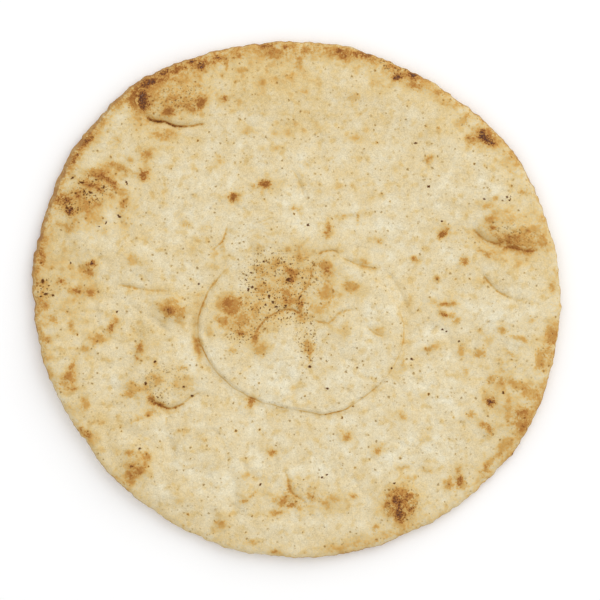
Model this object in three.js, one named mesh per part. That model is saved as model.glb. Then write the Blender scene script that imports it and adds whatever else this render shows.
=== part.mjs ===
// Pita bread: one round flat loaf, baked and sunk back, lying on its underside.
//
// The loaf is one solid. A cross-section is turned into a disc, and the disc is then shaped: its
// rings are drawn out to the uneven outline and round the border of the big middle blister, and its
// crust is raised into pillows, cut by creases and rippled. The underside is flat where the loaf
// rests and rises a little in shallow hollows and towards the rim.
//
// Millimetres, +Z up. The origin is under the middle of the loaf, in the plane that it rests on.

import * as THREE from "three";

// ---------------------------------------------------------------- driving dimensions

const LOAF_RADIUS = 90; // the loaf is turned at this radius, before its outline is drawn out
const BODY_THICKNESS = 6; // between the middle blister and the rim
const EDGE_THICKNESS = 4.6; // where the two crusts meet, on average
const EDGE_THICKNESS_VARIES = 0.5; // up or down, round the rim
const RIM_BAND = 13; // width of the band in which the body thins to the edge
const EDGE_ROUND = 2.8; // how far in from the outline the edge is rounded

// The middle blister puffed up in the oven and sank back, and its border stayed as a step.
const BLISTER = {
  x: 1.9,
  y: -12.8,
  radius: 32, // its border is turned at this radius, before it is drawn out
  rise: 1.25, // height of the step
  stepWidth: 1.6,
  lip: 0.45, // the border swells a little above the sunken middle
  lipWidth: 4.5,
  groove: 0.75, // depth of the fold that runs round outside the step
  grooveWidth: 2.1,
};
const STEP_FADES = { middle: 90, faintWithin: 32, fullBeyond: 62, faint: 0.15 }; // degrees round it
const GROOVE_LIES = { middle: 165, fullWithin: 32, noneBeyond: 62, faint: 0.2 };

// Radii at equal angles, from +X towards +Y: the loaf's from the origin, the blister's from its own
// middle.
const OUTLINE_RADII = [
  90.1, 89.5, 88.1, 87.3, 87.7, 89.8, 91.8, 91.3, 89.7, 87.6, 86.6, 87.3, 88.0, 88.4, 89.6, 90.2,
];
const BLISTER_RADII = [
  35.0, 36.5, 33.5, 29.8, 27.9, 29.0, 33.6, 34.6, 34.7, 31.5, 27.0, 24.6, 24.5, 28.3, 29.5, 32.3,
];

// Soft domes in the crust: middle, half length, half width, turn in degrees, height.
const PILLOWS = [
  [-43, 70, 18, 8, 5, 1.38], // over the slit at the upper left
  [-69, 36, 12, 15, 20, 1],
  [-38, 38, 21, 15, 10, 0.75],
  [-52, 14, 20, 9, -4, 0.88], // over the left crease
  [-42, -2, 9, 8, 0, 0.88], // the small round blister left of the middle one
  [-45, -28, 17, 12, 10, 1], // over the lower left crease
  [-55, -57, 9, 13, -10, 1.25],
  [-27, -46, 17, 13, 20, 0.88],
  [4, -66, 22, 11, 0, 0.88],
  [35, -69, 12, 12, 0, 1.25],
  [52, -36, 24, 18, 30, 0.62],
  [76, -36, 9, 17, -10, 0.75],
  [69, 2, 15, 11, -30, 0.88], // under the right crease
  [74, 25, 17, 8, -12, 1.5], // over the fold at the right
  [46, 44, 30, 24, 30, 0.62],
  [2, 70, 28, 14, 0, 0.62],
  [-9, 19, 20, 13, 25, 1.12], // the shoulder over the middle blister
  [18, 18, 17, 11, -15, 0.62],
  [-6, -16, 8, 9, -20, 0.62], // inside the arch of the middle blister
  [21, -14, 12, 9, 10, 0.5],
];

// Folds and slits in the crust: depth, half width, and the points that each runs through.
const CREASES = {
  upper_left_slit: { depth: 1.5, width: 1.9, run: [[-51, 62.7], [-48, 60.9], [-41, 59.8], [-30, 59.7]] },
  left_crease: { depth: 0.7, width: 1.9, run: [[-62, 4.5], [-55, 4.4], [-49, 3.1], [-43, 2.2]] },
  right_fold: { depth: 1.5, width: 2.4, run: [[59.8, 24.6], [64.3, 20.3], [70.2, 18.1], [82.2, 16.5]] },
  right_crease: { depth: 1.0, width: 1.9, run: [[63, 8.9], [66.6, 4.7], [71.5, 1.8], [79.5, 0.8]] },
  lower_left_crease: { depth: 1.0, width: 2.1, run: [[-50, -33], [-47, -35], [-42, -37], [-36, -34]] },
  lower_left_valley: { depth: 0.8, width: 4.5, run: [[-61.4, -26.4], [-63.5, -39.3], [-62.4, -50.9]] },
  bottom_crease: { depth: 0.7, width: 2.1, run: [[-6.6, -56.7], [-2.6, -60], [-2.4, -66], [4.5, -68.5]] },
  shoulder_fold: { depth: 0.7, width: 2.1, run: [[-28.9, 15.8], [-24.3, 21.3], [-12, 26], [-5.5, 29.4]] },
  blister_arch: { depth: 0.7, width: 1.8, run: [[-14.9, -12.9], [-10.3, -6.7], [-2.2, -2.9], [3.8, -8.3]] },
  blister_scallop: { depth: 0.5, width: 1.8, run: [[5, -8], [11, -7.8], [14.2, -4.4], [20.7, -3.1]] },
  blister_corner: { depth: 0.6, width: 1.9, run: [[36.6, -4.9], [40, -4.5], [41.2, -1.2]] },
};

// Long waves over the whole loaf: length, direction in degrees, height, start in degrees.
const CRUST_WAVES = [
  [58, 20, 0.22, 40],
  [41, 100, 0.2, 200],
  [29, 155, 0.16, 310],
  [19, 60, 0.09, 90],
];
const UNDERSIDE_WAVES = [
  [52, 75, 0.5, 150],
  [37, 10, 0.4, 20],
  [27, 130, 0.3, 260],
];
const REST_RADIUS = 30; // the underside has no hollows inside this
const HOLLOWS_END = 78; // and none beyond this, where it rests
const RIM_LIFT = 2.2; // most that the rim curls up off the table
const CRUST_LIFT_BAND = 40; // the crust rises towards the rim over this width
const UNDERSIDE_LIFT_BAND = 15; // and the underside leaves the table in this one

// Scallops of the outline: how many go round, height, start in degrees.
const SCALLOPS = [
  [13, 0.12, 30],
  [22, 0.14, 200],
  [31, 0.12, 110],
];

// Rings and sectors that the solid is divided into.
const SECTORS = 118;
const BLISTER_RINGS = 7; // from the middle to the blister's lip
const BORDER_OFFSETS = [-3.4, -1.3, 0, 1.3, 2.7, 4.6]; // rings across the step
const BODY_RINGS = 19; // from the step to the edge
const EDGE_RINGS = 3; // each side of the outline
const UNDERSIDE_RINGS = 9;

// ---------------------------------------------------------------- shaping functions

const TURN = 2 * Math.PI;
const radians = THREE.MathUtils.degToRad;
const { smoothstep, lerp, clamp } = THREE.MathUtils;
const bell = (distance, halfWidth) => Math.exp(-((distance / halfWidth) ** 2));

/** A radius at any angle, on a smooth closed curve through radii at equal angles. */
function radiusAt(radii, angle) {
  const count = radii.length;
  const place = ((angle / TURN) * count + count) % count;
  const start = Math.floor(place);
  const [a, b, c, d] = [-1, 0, 1, 2].map((step) => radii[(start + step + count) % count]);
  const t = place - start;
  return b + 0.5 * t * (c - a + t * (2 * a - 5 * b + 4 * c - d + t * (3 * (b - c) + d - a)));
}

/** How many degrees an angle lies from a direction. */
function degreesFrom(direction, angle) {
  const gap = Math.abs(THREE.MathUtils.radToDeg(angle) - direction) % 360;
  return Math.min(gap, 360 - gap);
}

/** Where a point of the turned disc goes in plan. */
function planPoint(radius, angle) {
  const scallop = SCALLOPS.reduce((sum, [count, height, start]) =>
    sum + height * Math.sin(count * angle + radians(start)), 0);
  const outer = radiusAt(OUTLINE_RADII, angle) + scallop;
  const inner = radiusAt(BLISTER_RADII, angle);
  const direction = new THREE.Vector2(Math.cos(angle), Math.sin(angle));
  const rim = direction.clone().multiplyScalar(outer);
  const border = new THREE.Vector2(BLISTER.x, BLISTER.y).addScaledVector(direction, inner);
  if (radius <= BLISTER.radius)
    return border.lerp(new THREE.Vector2(BLISTER.x, BLISTER.y), 1 - radius / BLISTER.radius);
  return border.lerp(rim, (radius - BLISTER.radius) / (LOAF_RADIUS - BLISTER.radius));
}

/** Height that the middle blister adds at a distance outside its border, negative inside it. */
function blisterRise(outside, angle) {
  const faint = STEP_FADES.faint;
  const step = faint + (1 - faint)
    * smoothstep(degreesFrom(STEP_FADES.middle, angle), STEP_FADES.faintWithin, STEP_FADES.fullBeyond);
  const fold = GROOVE_LIES.faint + (1 - GROOVE_LIES.faint) * (1
    - smoothstep(degreesFrom(GROOVE_LIES.middle, angle), GROOVE_LIES.fullWithin, GROOVE_LIES.noneBeyond));
  const half = BLISTER.stepWidth / 2;
  const plateau = 1 - smoothstep(outside, -half, half);
  const lip = bell(outside + BLISTER.lipWidth, BLISTER.lipWidth);
  const groove = bell(outside - BLISTER.grooveWidth, BLISTER.grooveWidth);
  const sunken = 1 - 0.45 * smoothstep(-outside, 0, BLISTER.radius);
  return step * (BLISTER.rise * plateau * sunken + BLISTER.lip * lip - BLISTER.groove * fold * groove);
}

function pillowRise(x, y) {
  let rise = 0;
  for (const [middleX, middleY, halfLength, halfWidth, turn, height] of PILLOWS) {
    const place = new THREE.Vector2(x - middleX, y - middleY)
      .rotateAround(new THREE.Vector2(), -radians(turn));
    const share = (place.x / halfLength) ** 2 + (place.y / halfWidth) ** 2;
    if (share < 1) rise += height * (1 - share) ** 2;
  }
  return rise;
}

/** Distance in plan from a point to the nearest place on a run of straight stretches. */
function distanceToRun(run, x, y) {
  let nearest = Infinity;
  for (let i = 1; i < run.length; i += 1) {
    const stretch = new THREE.Line3(
      new THREE.Vector3(...run[i - 1], 0),
      new THREE.Vector3(...run[i], 0),
    );
    const point = new THREE.Vector3(x, y, 0);
    const foot = stretch.closestPointToPoint(point, true, new THREE.Vector3());
    nearest = Math.min(nearest, foot.distanceTo(point));
  }
  return nearest;
}

const creaseDepth = (x, y) => Object.values(CREASES).reduce((deepest, { depth, width, run }) =>
  Math.max(deepest, depth * bell(distanceToRun(run, x, y), width)), 0);

const waveHeight = (waves, x, y) => waves.reduce((sum, [length, direction, height, start]) => {
  const along = x * Math.cos(radians(direction)) + y * Math.sin(radians(direction));
  return sum + height * Math.sin((TURN * along) / length + radians(start));
}, 0);

/** How far the rim has curled up off the table, which isn't the same all round. */
function rimLift(x, y) {
  const angle = Math.atan2(y, x);
  return RIM_LIFT * (0.6 + 0.25 * Math.sin(2 * angle + 0.9) + 0.15 * Math.sin(5 * angle + 2.4));
}

function undersideHeight(x, y) {
  const reach = Math.hypot(x, y);
  const inside = smoothstep(reach, REST_RADIUS, 1.5 * REST_RADIUS);
  const outside = 1 - smoothstep(reach, HOLLOWS_END - REST_RADIUS / 2, HOLLOWS_END);
  const hollow = Math.max(0, waveHeight(UNDERSIDE_WAVES, x, y)) * inside * outside;
  const lifted = clamp((reach - LOAF_RADIUS) / UNDERSIDE_LIFT_BAND + 1, 0, 1);
  return rimLift(x, y) * lifted + hollow;
}

function crustHeight(radius, angle, x, y) {
  const thinning = smoothstep(radius, LOAF_RADIUS - RIM_BAND, LOAF_RADIUS);
  const edge = EDGE_THICKNESS + EDGE_THICKNESS_VARIES * Math.sin(7 * angle) * Math.sin(3 * angle + 1);
  const relief = pillowRise(x, y) + waveHeight(CRUST_WAVES, x, y) - creaseDepth(x, y);
  const lifted = smoothstep(Math.hypot(x, y), LOAF_RADIUS - CRUST_LIFT_BAND, LOAF_RADIUS) ** 2;
  return lerp(BODY_THICKNESS, edge, thinning)
    + blisterRise(radius - BLISTER.radius, angle)
    + relief * (1 - 0.6 * thinning)
    + rimLift(x, y) * lifted;
}

// ---------------------------------------------------------------- the loaf

/** Half of the cross-section, from the underside's middle round the edge to the crust's middle.
 *  x is the radius, and y is 0 on the underside and 1 on the crust. */
function crossSection() {
  const section = [];
  const straight = LOAF_RADIUS - EDGE_ROUND;
  const firstBodyRing = BLISTER.radius + BORDER_OFFSETS.at(-1);
  for (let i = 0; i <= UNDERSIDE_RINGS; i += 1)
    section.push(new THREE.Vector2((straight * i) / UNDERSIDE_RINGS, 0));
  for (let i = 1; i < 2 * EDGE_RINGS; i += 1) {
    const swing = (Math.PI * i) / (2 * EDGE_RINGS);
    section.push(new THREE.Vector2(straight + EDGE_ROUND * Math.sin(swing), (1 - Math.cos(swing)) / 2));
  }
  for (let i = BODY_RINGS; i > 0; i -= 1)
    section.push(new THREE.Vector2(lerp(firstBodyRing, straight, i / BODY_RINGS), 1));
  for (const offset of [...BORDER_OFFSETS].reverse())
    section.push(new THREE.Vector2(BLISTER.radius + offset, 1));
  const lip = BLISTER.radius + BORDER_OFFSETS[0];
  for (let i = BLISTER_RINGS - 1; i >= 0; i -= 1)
    section.push(new THREE.Vector2((lip * i) / BLISTER_RINGS, 1));
  return section;
}

function loafGeometry() {
  const geometry = new THREE.LatheGeometry(crossSection(), SECTORS);
  geometry.rotateX(Math.PI / 2); // the turning axis, +Y, becomes +Z
  const points = geometry.getAttribute("position");
  for (let i = 0; i < points.count; i += 1) {
    const radius = Math.hypot(points.getX(i), points.getY(i));
    const angle = Math.atan2(points.getY(i), points.getX(i));
    const { x, y } = planPoint(radius, angle);
    const height = lerp(undersideHeight(x, y), crustHeight(radius, angle, x, y), points.getZ(i));
    points.setXYZ(i, x, y, height);
  }
  geometry.computeBoundingBox();
  const middle = geometry.boundingBox.getCenter(new THREE.Vector3());
  geometry.translate(-middle.x, -middle.y, -geometry.boundingBox.min.z);
  geometry.computeVertexNormals();
  return geometry;
}

function pitaBread() {
  const crust = new THREE.MeshStandardMaterial({ color: 0xdecaa0, roughness: 0.85, metalness: 0 });
  const loaf = new THREE.Mesh(loafGeometry(), crust);
  loaf.name = "pita_bread";
  const group = new THREE.Group();
  group.add(loaf);
  return group;
}

export default pitaBread();
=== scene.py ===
"""Pita bread: its blistered crust, its browning and a plain studio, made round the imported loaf.

Forms and browned marks are worked out in millimetres, in plan from the loaf's own middle, and the
meshes are in metres in the loaf's frame: +Z up, +Y from the middle towards the charred rim.
"""

import itertools
import math
import random

import bmesh
import bpy
import numpy as np
from bpy.props import FloatProperty, FloatVectorProperty, PointerProperty
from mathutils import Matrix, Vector


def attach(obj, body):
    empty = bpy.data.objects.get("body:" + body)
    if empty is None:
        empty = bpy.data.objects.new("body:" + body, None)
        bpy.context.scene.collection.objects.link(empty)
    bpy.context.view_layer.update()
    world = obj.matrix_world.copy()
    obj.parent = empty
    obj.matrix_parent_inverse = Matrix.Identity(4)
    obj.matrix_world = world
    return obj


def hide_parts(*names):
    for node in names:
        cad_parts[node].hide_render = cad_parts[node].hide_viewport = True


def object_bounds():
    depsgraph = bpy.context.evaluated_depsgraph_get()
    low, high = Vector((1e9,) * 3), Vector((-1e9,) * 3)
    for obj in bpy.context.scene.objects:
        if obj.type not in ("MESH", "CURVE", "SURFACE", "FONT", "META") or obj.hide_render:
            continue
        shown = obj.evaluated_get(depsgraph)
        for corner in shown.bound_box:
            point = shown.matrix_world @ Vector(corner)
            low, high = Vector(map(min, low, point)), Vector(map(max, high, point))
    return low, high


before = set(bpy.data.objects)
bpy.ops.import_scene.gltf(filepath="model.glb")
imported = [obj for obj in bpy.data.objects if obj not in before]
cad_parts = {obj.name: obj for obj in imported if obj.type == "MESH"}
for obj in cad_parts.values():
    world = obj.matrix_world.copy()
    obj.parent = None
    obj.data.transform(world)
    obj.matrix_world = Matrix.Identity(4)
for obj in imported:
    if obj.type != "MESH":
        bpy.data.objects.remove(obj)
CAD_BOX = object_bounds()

bl_info = {
    "name": "Pita Bread",
    "version": (1, 0, 0),
    "blender": (4, 5, 0),
    "location": "View3D > Sidebar > Pita",
    "description": "Makes a round baked flat loaf and a plain studio round its packed model",
    "category": "Add Mesh",
}

NODE = "pita_bread"
BODY = "root"
MM = 0.001
TURN = 2 * math.pi

# ---------------------------------------------------------------- form, in millimetres

LOAF_RADIUS = 90.0  # the loaf is turned at this radius, before its outline is drawn out
EDGE_ROUND = 2.8  # how far in from the outline the edge is rounded

BLISTER = {
    "x": 1.9,
    "y": -12.8,
    "radius": 32.0,  # its border is turned at this radius, before it is drawn out
    "step_width": 1.9,
    "lip": 0.45,
    "lip_width": 4.5,
    "groove": 0.6,
    "groove_width": 2.1,
    "sunken": 0.45,  # how much of its height is missing in its middle
    "uneven": 0.5,  # how far its border goes in and out
}
STEP_FADES = {"middle": 90, "faint_within": 32, "full_beyond": 62, "faint": 0.15}
GROOVE_LIES = {"middle": 165, "full_within": 32, "none_beyond": 62, "faint": 0.2}

# Radii at equal angles, from +X towards +Y: the loaf's from the origin, the blister's from its own
# middle.
OUTLINE_RADII = [
    90.1, 89.5, 88.1, 87.3, 87.7, 89.8, 91.8, 91.3, 89.7, 87.6, 86.6, 87.3, 88.0, 88.4, 89.6, 90.2,
]
BLISTER_RADII = [
    34.6, 33.6, 31.5, 28.8, 27.6, 29.0, 33.4, 34.8, 34.3, 30.7, 27.1, 24.7, 24.4, 27.7, 28.9, 31.9,
]

# Small swells of the outline: direction in degrees, half width in degrees, how far out.
SWELLS = [
    (35, 9, 0.85), (60, 5, -0.4), (80, 7, 0.7), (110, 5, -0.35), (125, 7, 0.6), (140, 5, -0.75),
    (160, 8, -1.0), (180, 8, -0.3), (210, 8, -0.5), (328, 8, 0.75),
]

# Soft domes in the crust: middle, half length, half width, turn in degrees, height.
PILLOWS = [
    (-43, 70, 18, 8, 5, 1.38),
    (-69, 36, 12, 15, 20, 1.0),
    (-38, 38, 21, 15, 10, 0.75),
    (-52, 14, 20, 9, -4, 0.88),
    (-42, -2, 9, 8, 0, 0.88),
    (-45, -28, 17, 12, 10, 1.0),
    (-55, -57, 9, 13, -10, 1.06),
    (-27, -46, 17, 13, 20, 0.88),
    (4, -66, 22, 11, 0, 0.88),
    (35, -69, 12, 12, 0, 1.25),
    (52, -36, 24, 18, 30, 0.62),
    (76, -36, 9, 17, -10, 0.75),
    (69, -6, 14, 8, -20, 0.6),
    (74, 25, 17, 8, -12, 1.5),
    (46, 44, 30, 24, 30, 0.62),
    (2, 70, 28, 14, 0, 0.62),
    (-9, 19, 20, 13, 25, 1.12),
    (18, 18, 17, 11, -15, 0.62),
    (-6, -16, 8, 9, -20, 0.62),
    (18.5, -12, 9, 9, 10, 0.7),
]
# Small puffs in the crust, in the same way. Rows of ovals leave out a turn of 0, here and below.
PUFFS = [
    (-71.5, 25, 11, 12, 10, 1.37), (-43, -4, 7.5, 7, 1.47), (-49.9, -8.7, 3, 3, 0.55),
    (-54.3, -0.9, 4, 3, 0.55), (-65.5, -2.2, 4, 4, 0.63), (-80.5, -9.7, 5, 4.5, 0.78),
    (-70.3, -14.5, 3.5, 5, 0.74), (-79.5, -25.7, 5, 2.5, 50, 0.88), (-72.3, -36.6, 4, 4, 0.74),
    (-53.3, -41.7, 8.5, 5.5, 1.47), (-53.3, -54, 7, 9, 0.72), (-44.7, -67.2, 6, 5, 0.88),
    (-28.8, -55.3, 6, 5, 0.64), (-16.8, -67.2, 6, 7, 0.84), (-25.4, -72.3, 3.5, 5, 0.54),
    (-3.9, -76.7, 12, 6, 0.84), (1.2, -72.3, 4, 3.5, 0.59), (16.5, -68.2, 6, 5, 0.64),
    (22.3, -78.4, 6, 4, 0.71), (52.2, -63.8, 3, 3, 0.47), (71.5, 9.5, 11, 7, -20, 1.34),
    (80.5, -23.3, 4, 6, 0.71), (74.4, -13.8, 6, 3, -20, 0.59), (70.3, -34.2, 4, 5, 0.64),
    (64.1, -44.4, 4, 2.2, -60, 0.54), (58, -40.3, 3, 2.5, 0.47), (76.7, -38.6, 4, 3, 0.64),
    (49.9, -2.9, 2.5, 2, 0.5), (56.3, 11.7, 2.5, 2.5, 0.43), (46.5, -17.2, 5, 4, 0.6),
    (15.8, -47.1, 3, 2.5, 0.47), (26.4, -52.2, 3, 2.5, 0.54), (-16.8, -36.6, 4, 4, 0.54),
]

# Where the crust is lumpier: middle, half length, half width, turn in degrees, how much more.
LUMPIER = [(-62, 0, 28, 62, 0, 0.9), (-42, -58, 34, 26, 0, 0.9)]

# Folds and slits in the crust: depth, half width, how much higher the crust is on the left of the
# run than on its right, how baked the line in the fold is, and the points that it runs through.
CREASES = {
    "upper_left_slit": (1.2, 1.0, 0.8, 0.8, [
        (-51.4, 63), (-50.2, 61.8), (-48.8, 60.9), (-47.1, 60.6), (-44.4, 60.4), (-41.5, 59.2),
        (-39.3, 58.9), (-36.2, 58.9)]),
    "slit_end": (0.9, 0.9, 0.5, 0.5, [(-39.3, 58.9), (-36.2, 58.9), (-33.5, 59.4), (-30.5, 59.8)]),
    "slit_lower_edge": (0.5, 0.7, 0.2, 0.6, [(-46.5, 59.6), (-43.7, 58.7), (-41, 58), (-38.3, 58.2)]),
    "left_crease": (0.45, 0.8, 0.3, 0.26, [
        (-60.7, 5.1), (-58.4, 4.7), (-55.8, 4.3), (-53.3, 3.7), (-50.9, 3.3)]),
    "left_crease_end": (0.3, 0.8, 0.2, 0.14, [(-51.6, 3.4), (-47.8, 3.1), (-44.4, 2.9), (-41.7, 2.7)]),
    "right_fold": (0.9, 1.3, 0.8, 0.42, [
        (60.1, 24.3), (62.1, 22.1), (64.5, 20.2), (67.5, 19.1), (71, 18.4)]),
    "right_fold_end": (0.6, 1.8, 0.8, 0.22, [
        (70.3, 18.5), (73.3, 17.7), (76.4, 16.8), (80.1, 16.5), (83.2, 17.2)]),
    "fold_streak_low": (0.3, 0.6, 0.1, 0.22, [(68.6, 20.6), (72, 19.6), (76, 18.5), (81, 18)]),
    "fold_streak_middle": (0.3, 0.6, 0.1, 0.22, [(70, 22), (73, 21), (76.5, 20), (80.8, 19)]),
    "fold_streak_high": (0.25, 0.6, 0.1, 0.2, [(71.5, 24), (75, 22.8), (79, 21.3)]),
    "fold_streak_outer": (0.25, 0.6, 0.1, 0.2, [(77, 24.6), (80.5, 22.6), (83.5, 20.9)]),
    "right_crease": (0.55, 1.0, 0.3, 0.3, [
        (62.8, 9), (64.7, 7.1), (66.4, 4.9), (68.6, 2.9), (71, 1.5), (73.7, 0.3)]),
    "right_crease_end": (0.4, 1.2, 0.3, 0.1, [(71, 1.5), (73.7, 0.2), (76.7, -0.2), (79.8, 0.7)]),
    "lower_left_crease": (0.9, 1.1, 0.5, 0.5, [
        (-49.9, -32.7), (-49.3, -34.5), (-46.9, -35.3), (-44.6, -36.7), (-42, -37), (-39.1, -35.9),
        (-36.9, -34.2)]),
    "lower_left_crease_end": (0.6, 1.1, 0.4, 0.3, [(-38.3, -35.2), (-35.4, -33.2), (-32.4, -31.5)]),
    "long_hollow": (0.8, 2.3, 0.2, 0.0, [
        (-53.9, -4.3), (-53.9, -10.4), (-54.6, -17.2), (-57.7, -23.3), (-61.1, -28.4), (-62.8, -33.5),
        (-64.1, -39), (-64.8, -46.4), (-62.8, -54.6)]),
    "left_hollow": (0.6, 1.9, 0.2, 0.0, [(-60.4, 29.8), (-58.7, 25.7), (-56.3, 20.9), (-56.3, 17.9)]),
    "left_bank": (0.5, 2.1, 0.2, 0.0, [(-77.8, 14.1), (-73.7, 10.7), (-68.6, 7.3)]),
    "inner_hollow": (0.5, 1.3, 0.1, 0.0, [(-49.9, -6.3), (-46.5, -9), (-42.4, -11.4), (-39, -10.4)]),
    "crease_tail": (0.45, 0.9, 0.2, 0.15, [(-44.1, -36.2), (-43.7, -39.6), (-44.1, -43.4)]),
    "side_hollow": (0.6, 1.9, 0.1, 0.0, [
        (-44.4, -43.7), (-43, -49.5), (-41.7, -56.3), (-43.7, -62.1), (-48.5, -65.5)]),
    "low_hollow": (0.6, 1.7, 0.1, 0.0, [
        (-22.3, -56.7), (-21.3, -63.1), (-20.6, -69.9), (-20.6, -78.4)]),
    "right_hollow": (0.5, 1.4, 0.1, 0.0, [
        (43.4, -8.7), (47.8, -10.4), (51.6, -13.1), (54.6, -15.1)]),
    "bottom_crease": (0.4, 1.0, 0.25, 0.2, [
        (-5.7, -57.8), (-3.6, -58.7), (-2.5, -61.1), (-2.2, -64.1), (-0.3, -66.3), (2.3, -67.9),
        (4.5, -69.6)]),
    "shoulder_fold": (0.6, 1.0, 0.3, 0.3, [
        (-28.8, 16.3), (-26.7, 18), (-24.8, 20.2), (-23.8, 23), (-23.1, 25.7)]),
    "dome_edge": (0.4, 1.3, 0.3, 0.08, [
        (-19.2, 19.9), (-16.2, 22.6), (-12.1, 24.8), (-8, 26.4), (-3.9, 27.1)]),
    "blister_arch": (0.5, 0.8, 0.35, 0.42, [
        (-14.5, -13.4), (-13.8, -11.7), (-12.4, -9.4), (-10.4, -7), (-8, -5.3), (-4.7, -3.8),
        (-1.5, -3.4), (1.2, -4.6), (3.2, -6.3)]),
    "blister_scallop": (0.4, 0.8, 0.3, 0.26, [
        (3.9, -7), (6.3, -7), (8.9, -7.8), (11.1, -8), (13.2, -6.3), (14.9, -4.6), (18.2, -3.6),
        (21.9, -3.5)]),
    "blister_third": (0.4, 0.9, 0.3, 0.16, [(23.7, -8.3), (25.7, -10.6), (28.1, -12.1), (30.5, -12.4)]),
    "blister_ray": (0.4, 0.8, 0.2, 0.22, [
        (-0.4, 0.9), (2.3, 2.6), (4.3, 5.3), (5.3, 8), (5.6, 10.7), (7.3, 14)]),
    "blister_top": (0.4, 0.8, 0.2, 0.3, [(7.3, 14.5), (9, 16.2), (12.8, 16.6), (14.9, 15.5)]),
    "outer_shoulder": (0.45, 1.0, 0.3, 0.2, [
        (15.1, 14.8), (18.2, 13.1), (21.6, 11.7), (25.7, 10.7), (28.8, 10)]),
    "outer_shoulder_end": (0.4, 1.0, 0.3, 0.06, [
        (30.1, 9.7), (32.2, 8), (33.9, 5.6), (35.6, 3.1), (36.9, -0.2), (38.3, -3.9)]),
    "right_shoulder": (0.5, 1.1, 0.4, 0.1, [(38.3, -5.6), (40.7, -4.6), (42.4, -1.9), (43.4, 0.9)]),
    "upper_wrinkle": (0.4, 0.9, 0.3, 0.12, [(-1.8, 45.4), (0.2, 42), (1.9, 38.3), (3.2, 34.2)]),
    "dome_crease": (0.3, 0.8, 0.2, 0.14, [(-15.7, 25.4), (-11.7, 26.5), (-6.8, 28.4)]),
    "left_dome": (0.4, 1.4, 0.3, 0.06, [
        (-61.4, 18.2), (-57.3, 21.9), (-56.3, 27.7), (-54.3, 33.2), (-50.5, 37.3)]),
    "low_fold": (0.4, 1.2, 0.3, 0.06, [
        (-37.9, -48.5), (-32.8, -46.5), (-28.1, -44.4), (-24.7, -47.8), (-23, -52.9)]),
}

FOLD_REACH = 3.5  # how far to each side a fold's step and its brown line are followed
STEP_SLOPE = 0.8  # half width in which the crust steps up at a fold
CREASE_TAPER = 0.2  # share of a crease's length in which each end fades
CREASE_ENDS = 0.4  # how deep a crease is at its ends, beside its middle
CURVE_STEPS = 3  # straight pieces that a crease has from one of its points to the next

# Lumps in the crust: size, height beside the largest, seed. Only the finest aren't drawn out of
# place.
LUMPS = [(7.0, 1.0, 6), (3.1, 0.55, 7)]
FINEST_LUMPS = (1.5, 0.3, 8)

# Long waves: length, direction in degrees, height, start in degrees.
CRUST_WAVES = [(58, 20, 0.22, 40), (41, 100, 0.2, 200), (29, 155, 0.16, 310), (19, 60, 0.09, 90)]
UNDERSIDE_WAVES = [(52, 75, 0.5, 150), (37, 10, 0.4, 20), (27, 130, 0.3, 260)]
# Scallops of the outline: how many go round, height, start in degrees.
SCALLOPS = [(13, 0.12, 30), (22, 0.1, 200), (31, 0.08, 110)]
# How the rim's lift changes: how many waves go round, share of the whole lift, start in radians.
LIFT_WAVES = [(2, 0.25, 0.9), (5, 0.15, 2.4)]
RIM_LIFT = 2.2  # most that the rim curls up off the table
CRUST_LIFT_BAND = 40.0  # the crust rises towards the rim over this width
UNDERSIDE_LIFT_BAND = 15.0  # and the underside leaves the table in this one
REST_RADIUS = 30.0  # the underside has no hollows inside this
HOLLOWS_END = 78.0  # and none beyond this
RIM_SMOOTHED = 0.6  # how much lower the relief is at the rim

# Rings and sectors that the loaf's mesh is divided into.
SECTORS = 672
BLISTER_RINGS = 22
BORDER_RINGS = 24
BORDER_FROM, BORDER_TO = -4.0, 5.5  # the closely ringed band each side of the step
BODY_RINGS = 76
EDGE_STEPS = 14
UNDERSIDE_RINGS = 12

# ---------------------------------------------------------------- browning

# Marks: middle, half length, half width, turn in degrees, and how baked the middle is, from 0, pale,
# to 1, black.
SCORCHES = [
    (-52.4, 67.9, 2.4, 3.2, 5, 0.84), (-75.8, 48.6, 1.2, 2.6, -30, 0.6),
    (-50.1, 74.3, 3.2, 1.6, 25, 0.74), (-44.8, 77.6, 2, 0.9, 25, 0.7),
    (-35.9, 81.4, 1.5, 0.7, 22, 0.74), (-32.7, 80.3, 1.4, 1.2, 0.76), (-27, 83, 1, 0.8, 0.68),
    (-72, 54.3, 1.2, 2.7, -35, 0.62), (-78.5, 34.1, 1.7, 1.4, 0.75),
    (-77.3, 30.8, 1.7, 1, -10, 0.73), (-69.8, 12.5, 1.4, 1, 0.75), (35, 76.7, 1.3, 1.2, 0.78),
    (40.3, 76.9, 1.5, 1.1, -25, 0.78), (63.9, 57.3, 1.5, 1.3, 0.68),
    (64.2, 55.3, 2.2, 1.6, -15, 0.84), (66.6, 54, 1.2, 1.4, 0.76), (34.2, -68.6, 1.7, 2.4, 0.66),
    (35.2, -73, 2, 2.4, 0.74), (38.3, -66.9, 2, 1.5, 0.52), (39.3, -71.3, 1.4, 1.7, 0.56),
    (31.1, -69.9, 1.2, 2, 0.54), (-55.8, -56.7, 0.9, 0.7, 0.72), (-2, 7.1, 1.1, 0.9, 0.66),
    (-42.9, -3.4, 1.8, 1.5, 0.54), (24.8, 84.2, 1.6, 1, -20, 0.78), (66.2, -34.9, 1.7, 1.6, 0.76),
]
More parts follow.
